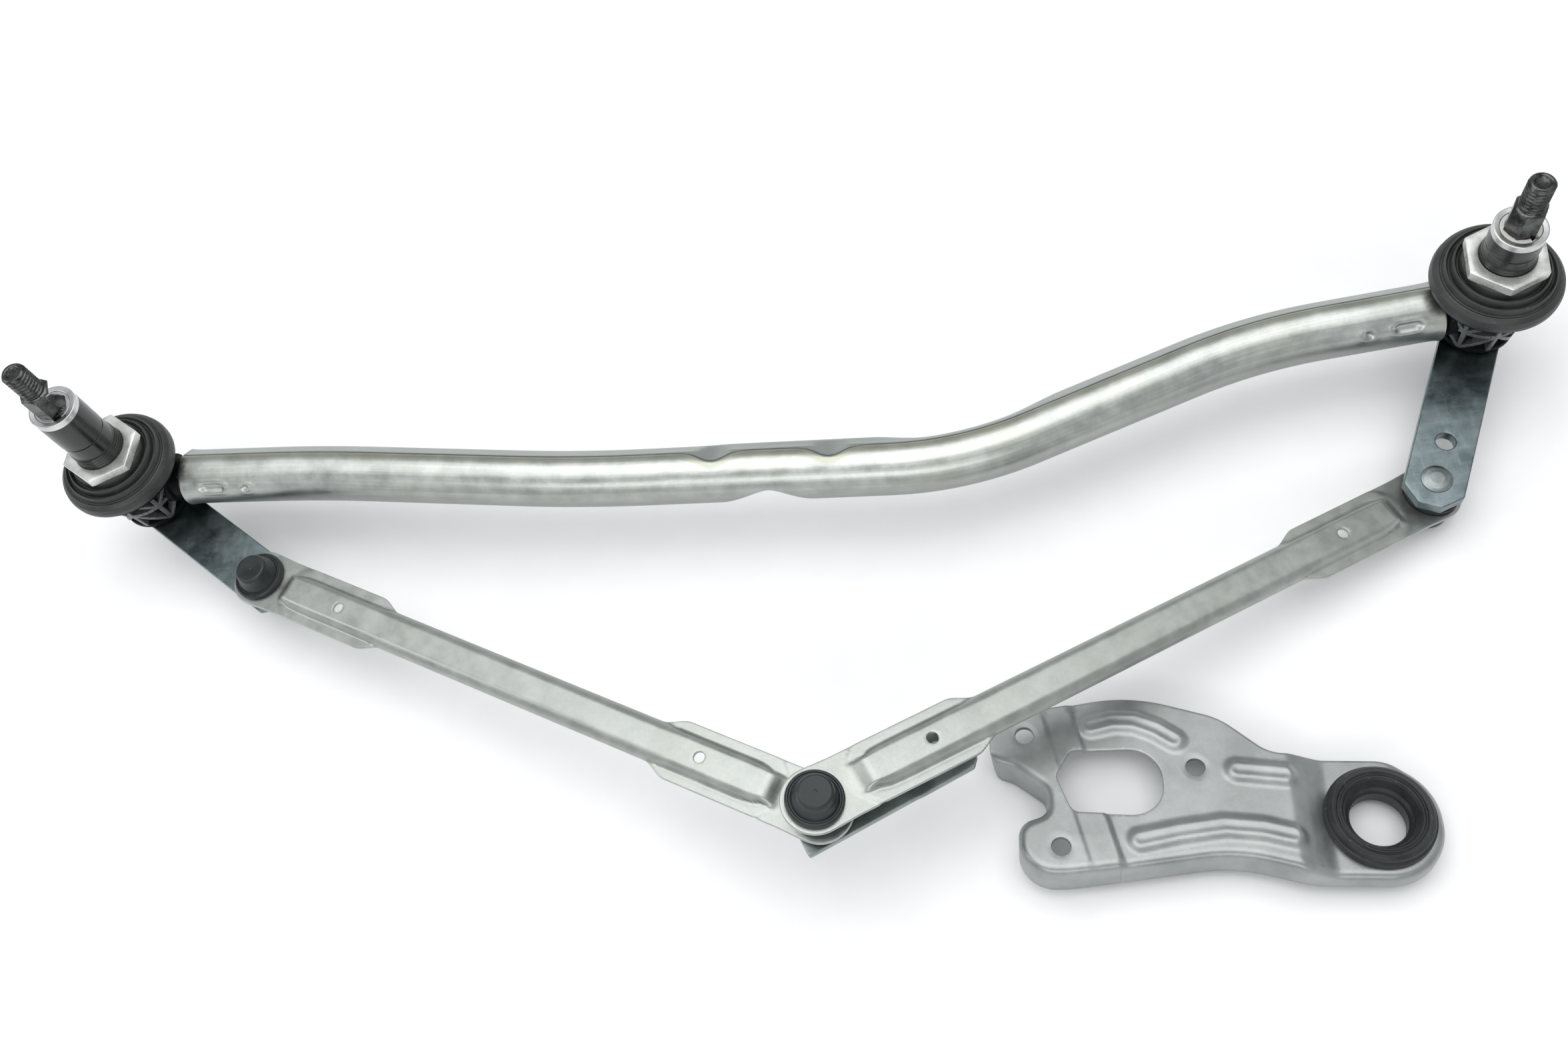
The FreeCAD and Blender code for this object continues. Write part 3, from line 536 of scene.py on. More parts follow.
BRACKET_ZINC = make_zinc("bracket_zinc", (0.39, 0.405, 0.40), (0.27, 0.285, 0.28), (0.34, 0.35, 0.32), 0.38,
                         mottle=50.0, fine=1500.0, tint_share=0.2, metallic=0.85)
COLLAR_METAL = make_zinc("collar_metal", (0.66, 0.67, 0.66), (0.52, 0.53, 0.52), (0.56, 0.56, 0.52), 0.3,
                         mottle=120.0, tint_share=0.1)
STUD_STEEL = make_zinc("stud_steel", (0.33, 0.36, 0.36), (0.20, 0.225, 0.225), (0.28, 0.30, 0.26), 0.4,
                       mottle=150.0, tint_share=0.1, bump=0.01)
SHAFT_STEEL = make_oiled("shaft_steel", (0.12, 0.12, 0.118), (0.035, 0.035, 0.035), 0.2)
SPRING_STEEL = make_oiled("spring_steel", (0.50, 0.50, 0.48), (0.30, 0.30, 0.28), 0.32)
# The housing plastic is one black drawn as two copies: the barrel and spigot near-black as painted shade in the
# pockets between the ribs, the ribs lighter as painted light on their crests.
HOUSING_SHADED_BLACK = make_black("housing_shaded_black", (0.002, 0.002, 0.003), (0.006, 0.007, 0.009), 0.6, specular=0.12)
RIB_LIT_BLACK = make_black("rib_lit_black", (0.050, 0.053, 0.058), (0.12, 0.125, 0.13), 0.3, specular=0.7)
NECK_BLACK = make_black("neck_black", (0.006, 0.006, 0.006), (0.016, 0.016, 0.016), 0.2, bump=0.012,
                        dust=0.05, specular=0.6)
SEAL_RUBBER = make_black("seal_rubber", (0.012, 0.013, 0.012), (0.032, 0.033, 0.031), 0.44, 900.0, 0.05, 0.1, 0.6)
SOCKET_BLACK = make_black("socket_black", (0.013, 0.017, 0.018), (0.028, 0.034, 0.036), 0.36, 1600.0, 0.02, 0.06)
GROMMET_RUBBER = make_black("grommet_rubber", (0.010, 0.011, 0.012), (0.026, 0.028, 0.031), 0.44, 1000.0,
                            0.03, 0.1)
PALE_PLASTIC = make_black("pale_plastic", (0.62, 0.61, 0.57), (0.72, 0.71, 0.68), 0.4, 1200.0, 0.02, 0.1)
FLOOR_PAPER = make_black("floor_paper", (0.94, 0.94, 0.94), (0.96, 0.96, 0.96), 0.7, 300.0, 0.0, 0.0, 0.1)


# ---------------------------------------------------------------- pivots

THREAD_PITCH = 1.5
SHAFT_PITCH = 1.75
LEVER_THICKNESS = 5.0


def thread(radius, height, angle, low, high, depth, pitch=THREAD_PITCH):
    """Cut a helical thread between two heights, fading out at both ends."""
    turn = (height / pitch - angle / (2 * math.pi)) % 1.0
    tooth = np.abs(turn * 2 - 1)
    fade = np.clip((height - low) / pitch, 0, 1) * np.clip((high - height) / (0.6 * pitch), 0, 1)
    return radius - depth * smooth(tooth * 1.15 - 0.05) * fade


def hexagon(angle, flats):
    share = (angle + math.pi / 6) % (math.pi / 3) - math.pi / 6
    return flats / 2 / np.cos(math.pi / 6 - np.abs(share))


def make_nut(side, pivot):
    """Hexagon nut with chamfered corners and a wide countersink round the neck's thread."""
    flats, corner, face = 29.0, 16.74, 13.4
    upper_cone, lower_cone, slope, edge = 16.4, 16.2, 1.73, 0.22
    rows = [(10.5, NUT_SEAT + 0.3), (10.5, NUT_TOP - 0.4), (10.75, NUT_TOP - 0.08), (11.0, NUT_TOP),
            (face, NUT_TOP)]
    rows += [(corner, NUT_TOP - depth) for depth in (0.0, 0.05, 0.12, 0.22, 0.34, 0.46, 0.6, 0.8, 1.1)]
    rows += [(corner, NUT_SEAT + 0.5 - 0.1 * step) for step in range(6)]
    rows += [(face, NUT_SEAT), (11.3, NUT_SEAT)]

    def shape(radius, height, angle):
        upper = upper_cone + (NUT_TOP - height) * slope
        lower = lower_cone + (height - NUT_SEAT) * slope
        rise = np.clip(edge - NUT_TOP + height, 0, edge)
        corner_round = edge - np.sqrt(np.clip(edge ** 2 - rise ** 2, 0, 1))
        outer = np.minimum(np.minimum(hexagon(angle, flats), upper), lower) - corner_round
        return np.where(radius > face + 0.1, outer, radius)

    add_turned(f"{side}_nut_hexagon", rows, 360, at(pivot, 21), "frame", "nut_steel", NUT_ZINC,
               [f"{side}_pivot_nut"], shape=shape, sharp=35, weighted=False)


def make_seal(side, pivot):
    """Rubber seal: flat under the nut, two raised rings, then a skirt that falls to an upright edge."""
    rows = [(10.45, 0, 0.2), (15.4, 0, 0.5), (16.3, -4.4, 0.8), (17.8, -1.4, 1.1), (19.1, -6.2, 0.8),
            (20.4, -3.6, 1.1), (21.4, -7.2, 0.8), (22.6, -6.6, 0.9), (24.4, -8.4, 1.4), (25.0, -10.6, 1.1),
            (24.9, -13, 0.6), (21, -13, 0.3), (10.45, -13, 0.3)]
    rows = rounded([(r, NUT_SEAT + z, f) for r, z, f in rows], steps=5)
    add_turned(f"{side}_seal_skirt", rows, 128, at(pivot), "frame", "seal_rubber", SEAL_RUBBER,
               [f"{side}_body_seal"], sharp=60)


def make_neck(side, pivot, neck_top, step_at):
    """Glossy black neck: a short thread above the nut, a smooth sleeve, and a groove at the step."""
    top = neck_top - 3
    thread_foot = NUT_TOP - 3
    rows = [(7.6, top), (7.6, SEAL_BOTTOM - 2), (10.0, SEAL_BOTTOM - 2), (10.4, SEAL_BOTTOM), (10.4, thread_foot)]
    height = thread_foot
    plain_from = NUT_TOP + 0.45 * (step_at - NUT_TOP)
    while height < plain_from:
        height += 0.15
        rows.append((10.4, height))
    rows += [(10.1, plain_from + 0.5), (9.85, plain_from + 0.9), (9.8, step_at - 0.3), (9.45, step_at - 0.1),
             (9.45, step_at + 0.3), (9.8, step_at + 0.4), (10.0, step_at + 0.8), (10.0, top - 0.5),
             (9.85, top - 0.12), (9.6, top)]

    def shape(radius, height, angle):
        cut = thread(radius, height, angle, thread_foot, plain_from + 0.4, 0.55)
        return np.where((radius > 10.2) & (height > thread_foot), cut, radius)

    add_turned(f"{side}_neck_sleeve", rows, 96, at(pivot), "frame", "housing_plastic", NECK_BLACK,
               shape=shape, sharp=40)


def bar_points(start, end, width, depth, inward):
    """Eight corners of a straight rib between two points, width across and depth inwards."""
    run = (end - start).normalized()
    across = run.cross(inward).normalized() * width / 2
    made = []
    for point in (start, end):
        made += [point + across, point - across, point - across + inward * depth, point + across + inward * depth]
    return made


BAR_FACES = ((0, 1, 2, 3), (7, 6, 5, 4), (0, 4, 5, 1), (1, 5, 6, 2), (2, 6, 7, 3), (3, 7, 4, 0))


def make_housing_body(side, pivot, tube_turn, spigot_offset):
    """Flange, barrel, spigot and the net of ribs between the flange and the foot ring."""
    top, foot = SEAL_BOTTOM, HOUSING_BOTTOM
    rows = rounded([(7.6, top), (22.6, top), (23, top - 3), (14.5, top - 3.4), (12.6, top - 6), (12.4, foot + 3),
                    (14.7, foot + 2.2), (15, foot), (7.6, foot)], 0.4)
    # The barrel takes the near-black copy: painted shade in the pockets between the ribs.
    add_turned(f"{side}_housing_barrel", rows, 96, at(pivot, tube_turn), "frame", "housing_plastic",
               HOUSING_SHADED_BLACK, [f"{side}_pivot_housing"])
    count = 8
    middle = TUBE_LEVEL
    upper, lower = top - 3.2, foot + 1.4
    points, faces = [], []

    def spot(turn, height):
        share = (height - lower) / (upper - lower)
        reach = 15.0 + 2.9 * share
        return Vector((reach * math.cos(turn), reach * math.sin(turn), height))

    def rib(start_turn, start_height, end_turn, end_height, width, pieces):
        for step in range(pieces):
            ends = []
            for share in (step / pieces, (step + 1) / pieces):
                ends.append(spot(start_turn + (end_turn - start_turn) * share,
                                 start_height + (end_height - start_height) * share))
            inward = -Vector(((ends[0] + ends[1]).x, (ends[0] + ends[1]).y, 0)).normalized()
            base = len(points)
            points.extend(bar_points(ends[0], ends[1], width, 5.4, inward))
            faces.extend([[base + corner for corner in face] for face in BAR_FACES])

    for index in range(count):
        here, after = (2 * math.pi * (index + shift) / count for shift in (0, 1))
        rib(here, lower, here, upper, 1.9, 1)
        rib(here, middle, after, middle, 1.9, 5)
        if index % 2:
            rib(here, middle, after, upper, 1.6, 5)
            rib(here, lower, after, middle, 1.6, 5)
        else:
            rib(here, upper, after, middle, 1.6, 5)
            rib(here, middle, after, lower, 1.6, 5)
    # The ribs take the lighter copy of the housing black: painted light on their crests.
    ribs = add_piece(f"{side}_housing_ribs", [tuple(p) for p in points], faces, at(pivot, tube_turn), "frame",
                     "housing_plastic", RIB_LIT_BLACK, merge=False)
    soften = ribs.modifiers.new("rounded edges", "BEVEL")
    soften.width, soften.segments, soften.limit_method = 0.3 * MM, 2, "ANGLE"
    ribs.modifiers.move(1, 0)
    rows = rounded([(0, 12), (10.6, 12), (10.6, 17), (9.2, 18), (9.2, 45.2), (8.6, 46), (0, 46)], 0.3, closed=False)
    lay = Matrix(((0, 0, 1, 0), (0, 1, 0, 0), (-1, 0, 0, 0), (0, 0, 0, 1)))
    place = at(pivot, tube_turn) @ Matrix.Translation((0, spigot_offset, TUBE_LEVEL)) @ lay
    add_turned(f"{side}_housing_spigot", rows, 64, place, "frame", "housing_plastic", HOUSING_SHADED_BLACK, closed=False)


def make_collar(side, pivot, neck_top):
    """Silver collar on the neck: a flat top face with a rounded outer edge."""
    rows = rounded([(7.55, neck_top - 3), (7.55, neck_top - 0.25, 0.15), (7.8, neck_top - 0.12), (9.2, neck_top),
                    (10.0, neck_top, 0.6), (10.0, neck_top - 3)], 0.15)
    add_turned(f"{side}_collar_ring", rows, 96, at(pivot), "frame", "collar_metal", COLLAR_METAL,
               [f"{side}_neck_collar"], sharp=50)


def make_shaft_end(side, pivot, neck_top, tip, body, notched):
    """Shaft from the lever up: journal, hexagon, thread and the hollowed tip."""
    hexagon_top = neck_top + 12.5
    foot = LEVER_TOP - LEVER_THICKNESS
    rows = [(0, foot - 2), (6.6, foot - 2), (7.9, foot - 1.4), (8.0, foot - 0.3), (7.8, foot), (5.9, foot),
            (5.9, LEVER_TOP), (6, LEVER_TOP), (6, neck_top - 1.8), (5.4, neck_top - 1.8), (5.4, neck_top - 0.65),
            (5.95, neck_top - 0.6), (5.95, neck_top - 0.05)]
    rows += [(6.6, neck_top + 12.4 * step / 40) for step in range(41)]
    rows += [(4.2, hexagon_top + 0.25)]
    height = hexagon_top + 0.3
    while height < tip - 0.9:
        rows.append((5.0, height))
        height += 0.14
    rows += [(4.75, tip - 0.75), (4.2, tip - 0.1), (3.9, tip), (3.1, tip), (2.8, tip - 0.2), (2.4, tip - 0.7),
             (1.2, tip - 0.85), (0, tip - 0.9)]
    flats = 11.5
    corner = flats / math.sqrt(3)
    notch_reach, notch_edge = 1.44, 0.25
    low, high = neck_top + 0.5, neck_top + 11.0

    def shape(radius, height, angle):
        lead = 4.9 + (hexagon_top - height) * 1.2
        prism = np.minimum(hexagon(angle, flats), np.minimum(lead + 0.5, corner))
        in_prism = (radius > 6.5) & (height > neck_top - 0.01)
        radius = np.where(in_prism, prism, radius)
        in_thread = (height > hexagon_top + 0.28) & (height < tip - 0.8) & (radius > 4.9)
        cut = thread(radius, height, angle, hexagon_top - 0.4, tip - 0.2, 0.78, SHAFT_PITCH)
        radius = np.where(in_thread, cut, radius)
        if notched:
            facing = np.cos(angle)
            reach = np.where(facing > 0.02, notch_reach / np.maximum(facing, 0.02), 99.0)
            share = (np.clip((height - low + notch_edge) / notch_edge, 0, 1)
                     * np.clip((high - height + notch_edge) / notch_edge, 0, 1))
            radius = np.where((facing > 0) & (height > low - notch_edge) & (height < high + notch_edge),
                              radius + (np.minimum(radius, reach) - radius) * share, radius)
        return radius

    add_turned(f"{side}_shaft_steel", rows, 120, at(pivot, 45 if notched else 60), body, "dark_steel",
               SHAFT_STEEL, [f"{side}_pivot_shaft"], closed=False, shape=shape, sharp=38, weighted=False)


def make_snap_ring(side, pivot, neck_top, body):
    """Open ring that sits in the shaft's groove, with its gap towards the front."""
    steps, gap = 60, math.radians(28)
    section = rounded([(5.5, -1.65), (7.48, -1.65), (7.48, -0.22), (5.5, -0.22)], 0.2)
    count = len(section)
    points, faces = [], []
    for step in range(steps + 1):
        turn = gap / 2 + (2 * math.pi - gap) * step / steps
        points += [(p.x * math.cos(turn), p.x * math.sin(turn), neck_top + p.y) for p in section]
    for step in range(steps):
        for index in range(count):
            after = (index + 1) % count
            faces.append((step * count + index, (step + 1) * count + index,
                          (step + 1) * count + after, step * count + after))
    faces.append(tuple(range(count)))
    faces.append(tuple(reversed(range(steps * count, (steps + 1) * count))))
    material, slot = (COLLAR_METAL, "spring_steel") if side == "left" else (PALE_PLASTIC, "pale_plastic")
    add_piece(f"{side}_snap_ring_open", points, faces, at(pivot, -60), body, slot, material,
              [f"{side}_snap_ring"])


def lever_outline(reach=88.0, side=11.5, cut=7.0):
    inset = side - cut
    return arc_points([(-side, -inset, 1.2), (-inset, -side, 1.2), (reach - cut, -side, 1.5),
                       (reach, -inset, 1.5), (reach, inset, 1.5), (reach - cut, side, 1.5),
                       (-inset, side, 1.2), (-side, inset, 1.2)], 2.0)


def make_lever_bar(side, pivot, turn, body, holes):
    loops = [lever_outline()] + [circle(x, 0, radius)[::-1] for x, radius in holes]
    points, faces = sheet(loops, (4.0, 4.0), lambda x, y: np.full_like(x, LEVER_TOP),
                          [plain_rim(LEVER_THICKNESS, 0.55)] * len(loops))
    add_piece(f"{side}_lever_bar", points, faces, at(pivot, turn), body, "zinc_lever", LEVER_ZINC,
              [f"{side}_lever"], sharp=50)


def make_lever_studs():
    """Ball studs with domed rivet heads: under the left lever's bar, and on top of the right one's."""
    for side, centre, body, drop, flip in (
            ("left", LEFT_BALL, "left_lever_arm", LEFT_BALL.z - LEVER_TOP, False),
            ("right", RIGHT_BALL, "right_lever_arm", LEVER_TOP - LEVER_THICKNESS - RIGHT_BALL.z, True)):
        shank = drop + LEVER_THICKNESS
        rows = ball_rows(0, 140, 8) + rounded(
            [(3, -4.6), (3, -drop + 0.8), (5.2, -drop + 0.8), (5.2, -drop), (3.5, -drop), (3.5, -shank),
             (6.1, -shank - 0.05), (5.9, -shank - 0.4), (4.7, -shank - 0.95, 2.0), (2.6, -shank - 1.3, 2.0),
             (0, -shank - 1.35)], 0.2, closed=False)
        place = Matrix.Translation(centre) @ (Matrix.Rotation(math.pi, 4, "X") if flip else Matrix())
        add_turned(f"{side}_stud_ball", rows, 72, place, body, "bright_steel", STUD_STEEL,
                   [f"{side}_lever_ball_stud"], closed=False, sharp=50)


# How far each tube end stands to the side of its pivot, and the way it runs
LEFT_OFFSET, RIGHT_OFFSET = 3.0, -1.0
LEFT_TURN, RIGHT_TURN = -6.4, 183.0
SIDES = (
    # side, pivot, spigot offset, tube turn, height of the neck's step
    ("left", LEFT_PIVOT, LEFT_OFFSET, LEFT_TURN, -10.0),
    ("right", RIGHT_PIVOT, RIGHT_OFFSET, RIGHT_TURN, -17.0),
)
for side, pivot, spigot_offset, tube_turn, step_at in SIDES:
    neck_top = corner_mm(f"{side}_neck_collar", 1).z
    tip = corner_mm(f"{side}_pivot_shaft", 1).z
    base = Vector((pivot.x, pivot.y, 0))
    arm = f"{side}_lever_arm"
    make_nut(side, base)
    make_seal(side, base)
    make_neck(side, base, neck_top, step_at)
    make_housing_body(side, base, tube_turn, spigot_offset)
    make_collar(side, base, neck_top)
    make_shaft_end(side, base, neck_top, tip, arm, side == "left")
    make_snap_ring(side, base, neck_top, arm)
    for node, material in (("thrust_washer", PALE_PLASTIC), ("upper_bush", PALE_PLASTIC),
                           ("lower_bush", PALE_PLASTIC), ("shaft_seal", SEAL_RUBBER),
                           ("wave_washer", SPRING_STEEL)):
        mesh = frame["nodes"][f"{side}_{node}"].data
        mesh.materials.clear()
        mesh.materials.append(material)
make_lever_bar("left", Vector((0, 0, 0)), bearing(LEFT_PIVOT, LEFT_BALL), "left_lever_arm",
               [(0, 5.95), (76, 3.55)])
make_lever_bar("right", Vector((RIGHT_PIVOT.x, 0, 0)), bearing(RIGHT_PIVOT, RIGHT_BALL), "right_lever_arm",
               [(0, 5.95), (58, 3.8), (76, 3.55)])
make_lever_studs()


# ---------------------------------------------------------------- frame tube

def tube_line(spacing=1.25):
    """Centre line of the bent tube: straight runs joined by arcs."""
    left, right = turn_z(LEFT_TURN), at((RIGHT_PIVOT.x, 0, 0), RIGHT_TURN)
    corners = [left @ Vector((24, LEFT_OFFSET, TUBE_LEVEL)), left @ Vector((86, LEFT_OFFSET, TUBE_LEVEL)),
               Vector((202, -27.2, TUBE_LEVEL)), Vector((361.7, -42.4, TUBE_LEVEL)),
               right @ Vector((93.4, RIGHT_OFFSET, TUBE_LEVEL)), right @ Vector((19, RIGHT_OFFSET, TUBE_LEVEL))]
    path = [corners[0]]
    for index, radius in ((1, 700), (2, 700), (3, 145), (4, 228)):
        here = corners[index]
        back = (corners[index - 1] - here).normalized()
        ahead = (corners[index + 1] - here).normalized()
        half = back.angle(ahead) / 2
        centre = here + (back + ahead).normalized() * radius / math.sin(half)
        start = here + back * radius / math.tan(half) - centre
        end = here + ahead * radius / math.tan(half) - centre
        sweep = start.xy.angle_signed(end.xy)
        steps = 24
        for step in range(steps + 1):
            path.append(centre + Matrix.Rotation(-sweep * step / steps, 4, "Z") @ start)
    path.append(corners[-1])
    points = np.array([tuple(point) for point in path])
    lengths = np.concatenate([[0], np.cumsum(np.linalg.norm(np.diff(points, axis=0), axis=1))])
    count = int(lengths[-1] / spacing)
    stops = np.linspace(0, lengths[-1], count + 1)
    near = np.array([0.0, 0.25, 0.6, 1.1])
    stops = np.unique(np.concatenate([near, stops[1:-1], lengths[-1] - near]))
    line = np.stack([np.interp(stops, lengths, points[:, axis]) for axis in range(3)], -1)
    heading = np.gradient(line, stops, axis=0)
    kernel = np.ones(5) / 5
    for axis in range(2):
        padded = np.pad(heading[:, axis], 2, mode="edge")
        heading[:, axis] = np.convolve(padded, kernel, mode="valid")
    heading /= np.linalg.norm(heading, axis=1)[:, None]
    return line, heading, stops


# One row per press mark on the tube: x of the mark, angle from +Z towards -Y, depth, half length
SADDLES = ((260.0, -30.0, 2.0, 8.0), (308.6, -30.0, 2.0, 8.0), (281.5, 118.0, 4.4, 12.5))


def lean_from(angle, turn):
    """Degrees round the tube from a direction, between -180 and 180."""
    return (angle - turn + 180) % 360 - 180


def arc_mm(degrees):
    return degrees * 12 * math.pi / 180


def tube_radius(x, run, length, angle):
    """Outside radius of the tube round its section, with its flat strip, saddles, crimps and flared ends."""
    radius = np.full(np.broadcast(run, angle).shape, 11.9)

    def facet(turn, gap):
        lean = lean_from(angle, turn)
        reach = gap / np.maximum(np.cos(np.radians(lean)), 0.2)
        return np.where(np.abs(lean) < 75, reach, 99.0)

    def soft_min(first, second, blend=0.22):
        return -blend * np.log(np.exp(-first / blend) + np.exp(-np.minimum(second, first + 9) / blend))

    radius = soft_min(radius + 0.03, facet(-43.0, 11.25) + 0.03, 0.05)
    radius -= 0.3 * bell(lean_from(angle, -23) / 3.2)
    swell = smooth((x - 250) / 30) * smooth((360 - x) / 40)
    radius += 0.9 * swell * bell(lean_from(angle, -72) / 26)
    flatter = smooth((x - 325) / 25) * smooth((415 - x) / 30)
    radius = soft_min(radius, facet(-60.0, 12.3 - 1.6 * flatter), 0.1)
    for place, turn, depth, half in SADDLES:
        share = bell((x - place) / half)
        gap = 12.6 - (depth + 0.6) * share
        radius = soft_min(radius, facet(turn, gap), 0.12)
    for end in (run, length - run):
        across = arc_mm(lean_from(angle, 55))
        oblong = np.maximum(np.abs(end - 15) - 3.6, 0)
        dent = np.sqrt(oblong ** 2 + across ** 2)
        radius -= 1.35 * (1 - smooth((dent - 1.1) / 1.1)) - 0.3 * bell((dent - 3.0) / 0.7)
        spot = np.sqrt((end - 30.5) ** 2 + (across - 0.6) ** 2)
        radius -= 1.3 * (1 - smooth((spot - 0.4) / 1.8)) - 0.25 * bell((spot - 2.9) / 0.7)
        flare = np.exp(-end / 1.6)
        radius += flare * (0.75 * bell(lean_from(angle, 100) / 40) + 0.5 * bell(lean_from(angle, -60) / 30))
    return radius


def make_tube():
    line, heading, stops = tube_line()
    steps, wall = 112, 1.5
    length = stops[-1]
    angles = np.arange(steps) * 360.0 / steps
    x = line[:, 0][:, None]
    outer = tube_radius(x, stops[:, None], length, angles[None, :])
    side = np.stack([-heading[:, 1], heading[:, 0], np.zeros(len(heading))], -1)
    turn = np.radians(angles)
    lift = np.array([0, 0, 1.0])

    def shell(radius):
        flat = -radius * np.sin(turn)
        return line[:, None, :] + side[:, None, :] * flat[..., None] + lift * (radius * np.cos(turn))[..., None]

    ends = np.minimum(stops, length - stops)[:, None]
    lip = 0.35 * (1 - np.sqrt(np.clip(1 - (1 - np.clip(ends / 0.6, 0, 1)) ** 2, 0, 1)))
    outside, within = shell(outer - lip), shell(outer - wall + lip)
    rows = len(stops)
    points = np.concatenate([outside.reshape(-1, 3), within.reshape(-1, 3)])
    faces = []
    for row in range(rows - 1):
        for step in range(steps):
            after = (step + 1) % steps
            a, b = row * steps + step, row * steps + after
            c, d = b + steps, a + steps
            faces.append((a, b, c, d))
            faces.append(tuple(corner + rows * steps for corner in (d, c, b, a)))
    for row, flip in ((0, False), (rows - 1, True)):
        for step in range(steps):
            after = (step + 1) % steps
            quad = (row * steps + step, rows * steps + row * steps + step,
                    rows * steps + row * steps + after, row * steps + after)
            faces.append(quad[::-1] if flip else quad)
    lean = lean_from(angles[None, :], 0)
    dips = sum(bell((x - place) / half) for place, _, _, half in SADDLES[:2])
    lean = lean - 24 * dips * smooth((lean + 45) / 20) * smooth((38 - lean) / 20)
    around = arc_mm(lean)
    uv = np.stack([np.broadcast_to(stops[:, None], (rows, steps)), around], -1).reshape(-1, 2)
    add_piece("tube_shell", points, faces, Matrix(), "frame", "zinc_tube", TUBE_ZINC, ["frame_tube"],
              sharp=60, weighted=False, uv=np.concatenate([uv, uv]))


make_tube()


# ---------------------------------------------------------------- link rods and their sockets

ROD_SHEET = 1.6


def rod_half_width(x, length, flare=12.0, waist=8.2):
    ends = np.minimum(x, length - x)
    return waist + (flare - waist) * (1 - smooth((ends - 60.5) / 11))


def rod_outline(length):
    """Round ends, wide paddles and a narrow middle."""
    radius = 12.5
    turns = np.radians(np.linspace(90, 270, 28))
    near = np.stack([radius * np.cos(turns), radius * np.sin(turns)], -1)
    blend = np.linspace(1.5, length - 1.5, int(length / 1.2))
    ends = np.minimum(blend, length - blend)
    half = rod_half_width(blend, length) + 0.5 * (1 - smooth(ends / 14))
    lower = np.stack([blend, -half], -1)
    far = np.stack([length + radius * np.cos(turns - math.pi), radius * np.sin(turns - math.pi)], -1)
    upper = np.stack([blend[::-1], half[::-1]], -1)
    return np.concatenate([near, lower, far, upper])


def rod_surface(length, starts, slopes):
    """Top face: a broad ridge with rounded flanks, closed by a sloping end near each ball, and a faint step."""
    def surface(x, y):
        y = np.abs(y)
        ends = np.minimum(x, length - x)
        start = np.where(x < length / 2, starts[0], starts[1])
        slope = np.where(x < length / 2, slopes[0], slopes[1])
        corner = np.maximum(ends - start - slope, 0)
        rise = smooth((ends - start) / slope)
        middle = smooth((ends - 58) / 14)
        plan = 7.6 + 0.45 * middle - 1.4 * np.exp(-corner / 2.4)
        top = 4.6 - 0.4 * middle
        share = np.clip((y - top) / (plan - top), 0, 1)
        flank = np.cos(share * math.pi / 2) ** 0.8
        foot = 0.28 * np.exp(-np.maximum(y - plan, 0) / 0.8)
        crown = 0.25 * (1 - (y / 7.5) ** 2)
        wing = 0.4 * smooth((ends - 12.6 - 0.05 * y ** 2) / 2.6)
        groove = -0.2 * bell((y - plan - 0.8) / 0.8) * rise * (1 - middle)
        return ROD_SHEET / 2 - 0.4 + wing + groove + rise * ((2.95 + crown) * flank + foot * (1 - middle))
    return surface


def make_rod(side, place, length, holes, sockets, starts, slopes, body):
    loops = [rod_outline(length)]
    for x, radius in sockets:
        loops.append(circle(x, 0, radius, 56)[::-1])
    for x in holes:
        loops.append(circle(x, 0, 2.2, 24)[::-1])
    rims = [plain_rim(ROD_SHEET, 0.3)] * len(loops)
    points, faces = sheet(loops, (1.3, 0.55), rod_surface(length, starts, slopes), rims)
    add_piece(f"{side}_rod_pressed", points, faces, place, body, "pressed_steel", ROD_STEEL,
              [f"{side}_link_rod"], sharp=42, weighted=False)


ROD_DROP = 1.5 + ROD_SHEET / 2
left_place, left_length = along(LEFT_BALL, LOW_BALL, -ROD_DROP, -ROD_DROP)
right_place, right_length = along(HIGH_BALL, RIGHT_BALL, -ROD_DROP, ROD_DROP)
make_rod("left", left_place, left_length, (46, left_length - 50), ((0, 8.5), (left_length, 8.5)),
         (14.5, 15.0), (3.6, 7.5), "left_link")
make_rod("right", right_place, right_length, (48, right_length - 46), ((0, 8.5), (right_length, 10.8)),
         (15.5, 18.5), (7.5, 4.2), "right_link")


def tilted(centre, rod_place):
    return Matrix.Translation(centre) @ rod_place.to_3x3().to_4x4()


def cap_profile(open_top):
    """Socket moulded into the rod: flange with stepped rings, and a dome where the top is closed."""
    inner = [(5.15, -4.9), (6.3, -5.0)]
    outer = [(8.5, -5.0), (8.5, -1.5), (10.6, -1.5), (10.8, -1.2), (10.8, 0.1, 0.3), (10.2, 0.75, 0.3),
             (9.7, 0.75, 0.2), (9.4, 0.35, 0.2), (8.9, 0.35, 0.2)]
    if open_top:
        return rounded(inner + outer + [(8.3, 0.8), (6.0, 0.8), (4.4, 1.0), (5.0, 0.2), (5.15, -2.0)], 0.2)
    dome = [(8.5, 1.3, 0.4), (7.5, 3.4, 1.2), (6.9, 6.0, 0.9), (6.3, 7.1, 0.5), (5.6, 7.35, 0.4),
            (0.7, 7.2, 0.2), (0.45, 7.35, 0.1), (0, 7.4)]
    hollow = [(0, 4.6), (3.0, 4.1), (5.15, 0.5), (5.15, -4.9), (6.3, -5.0)]
    return [Vector(hollow[0])] + rounded(hollow[1:] + outer + dome[:-1], 0.25, closed=False) + [Vector(dome[-1])]


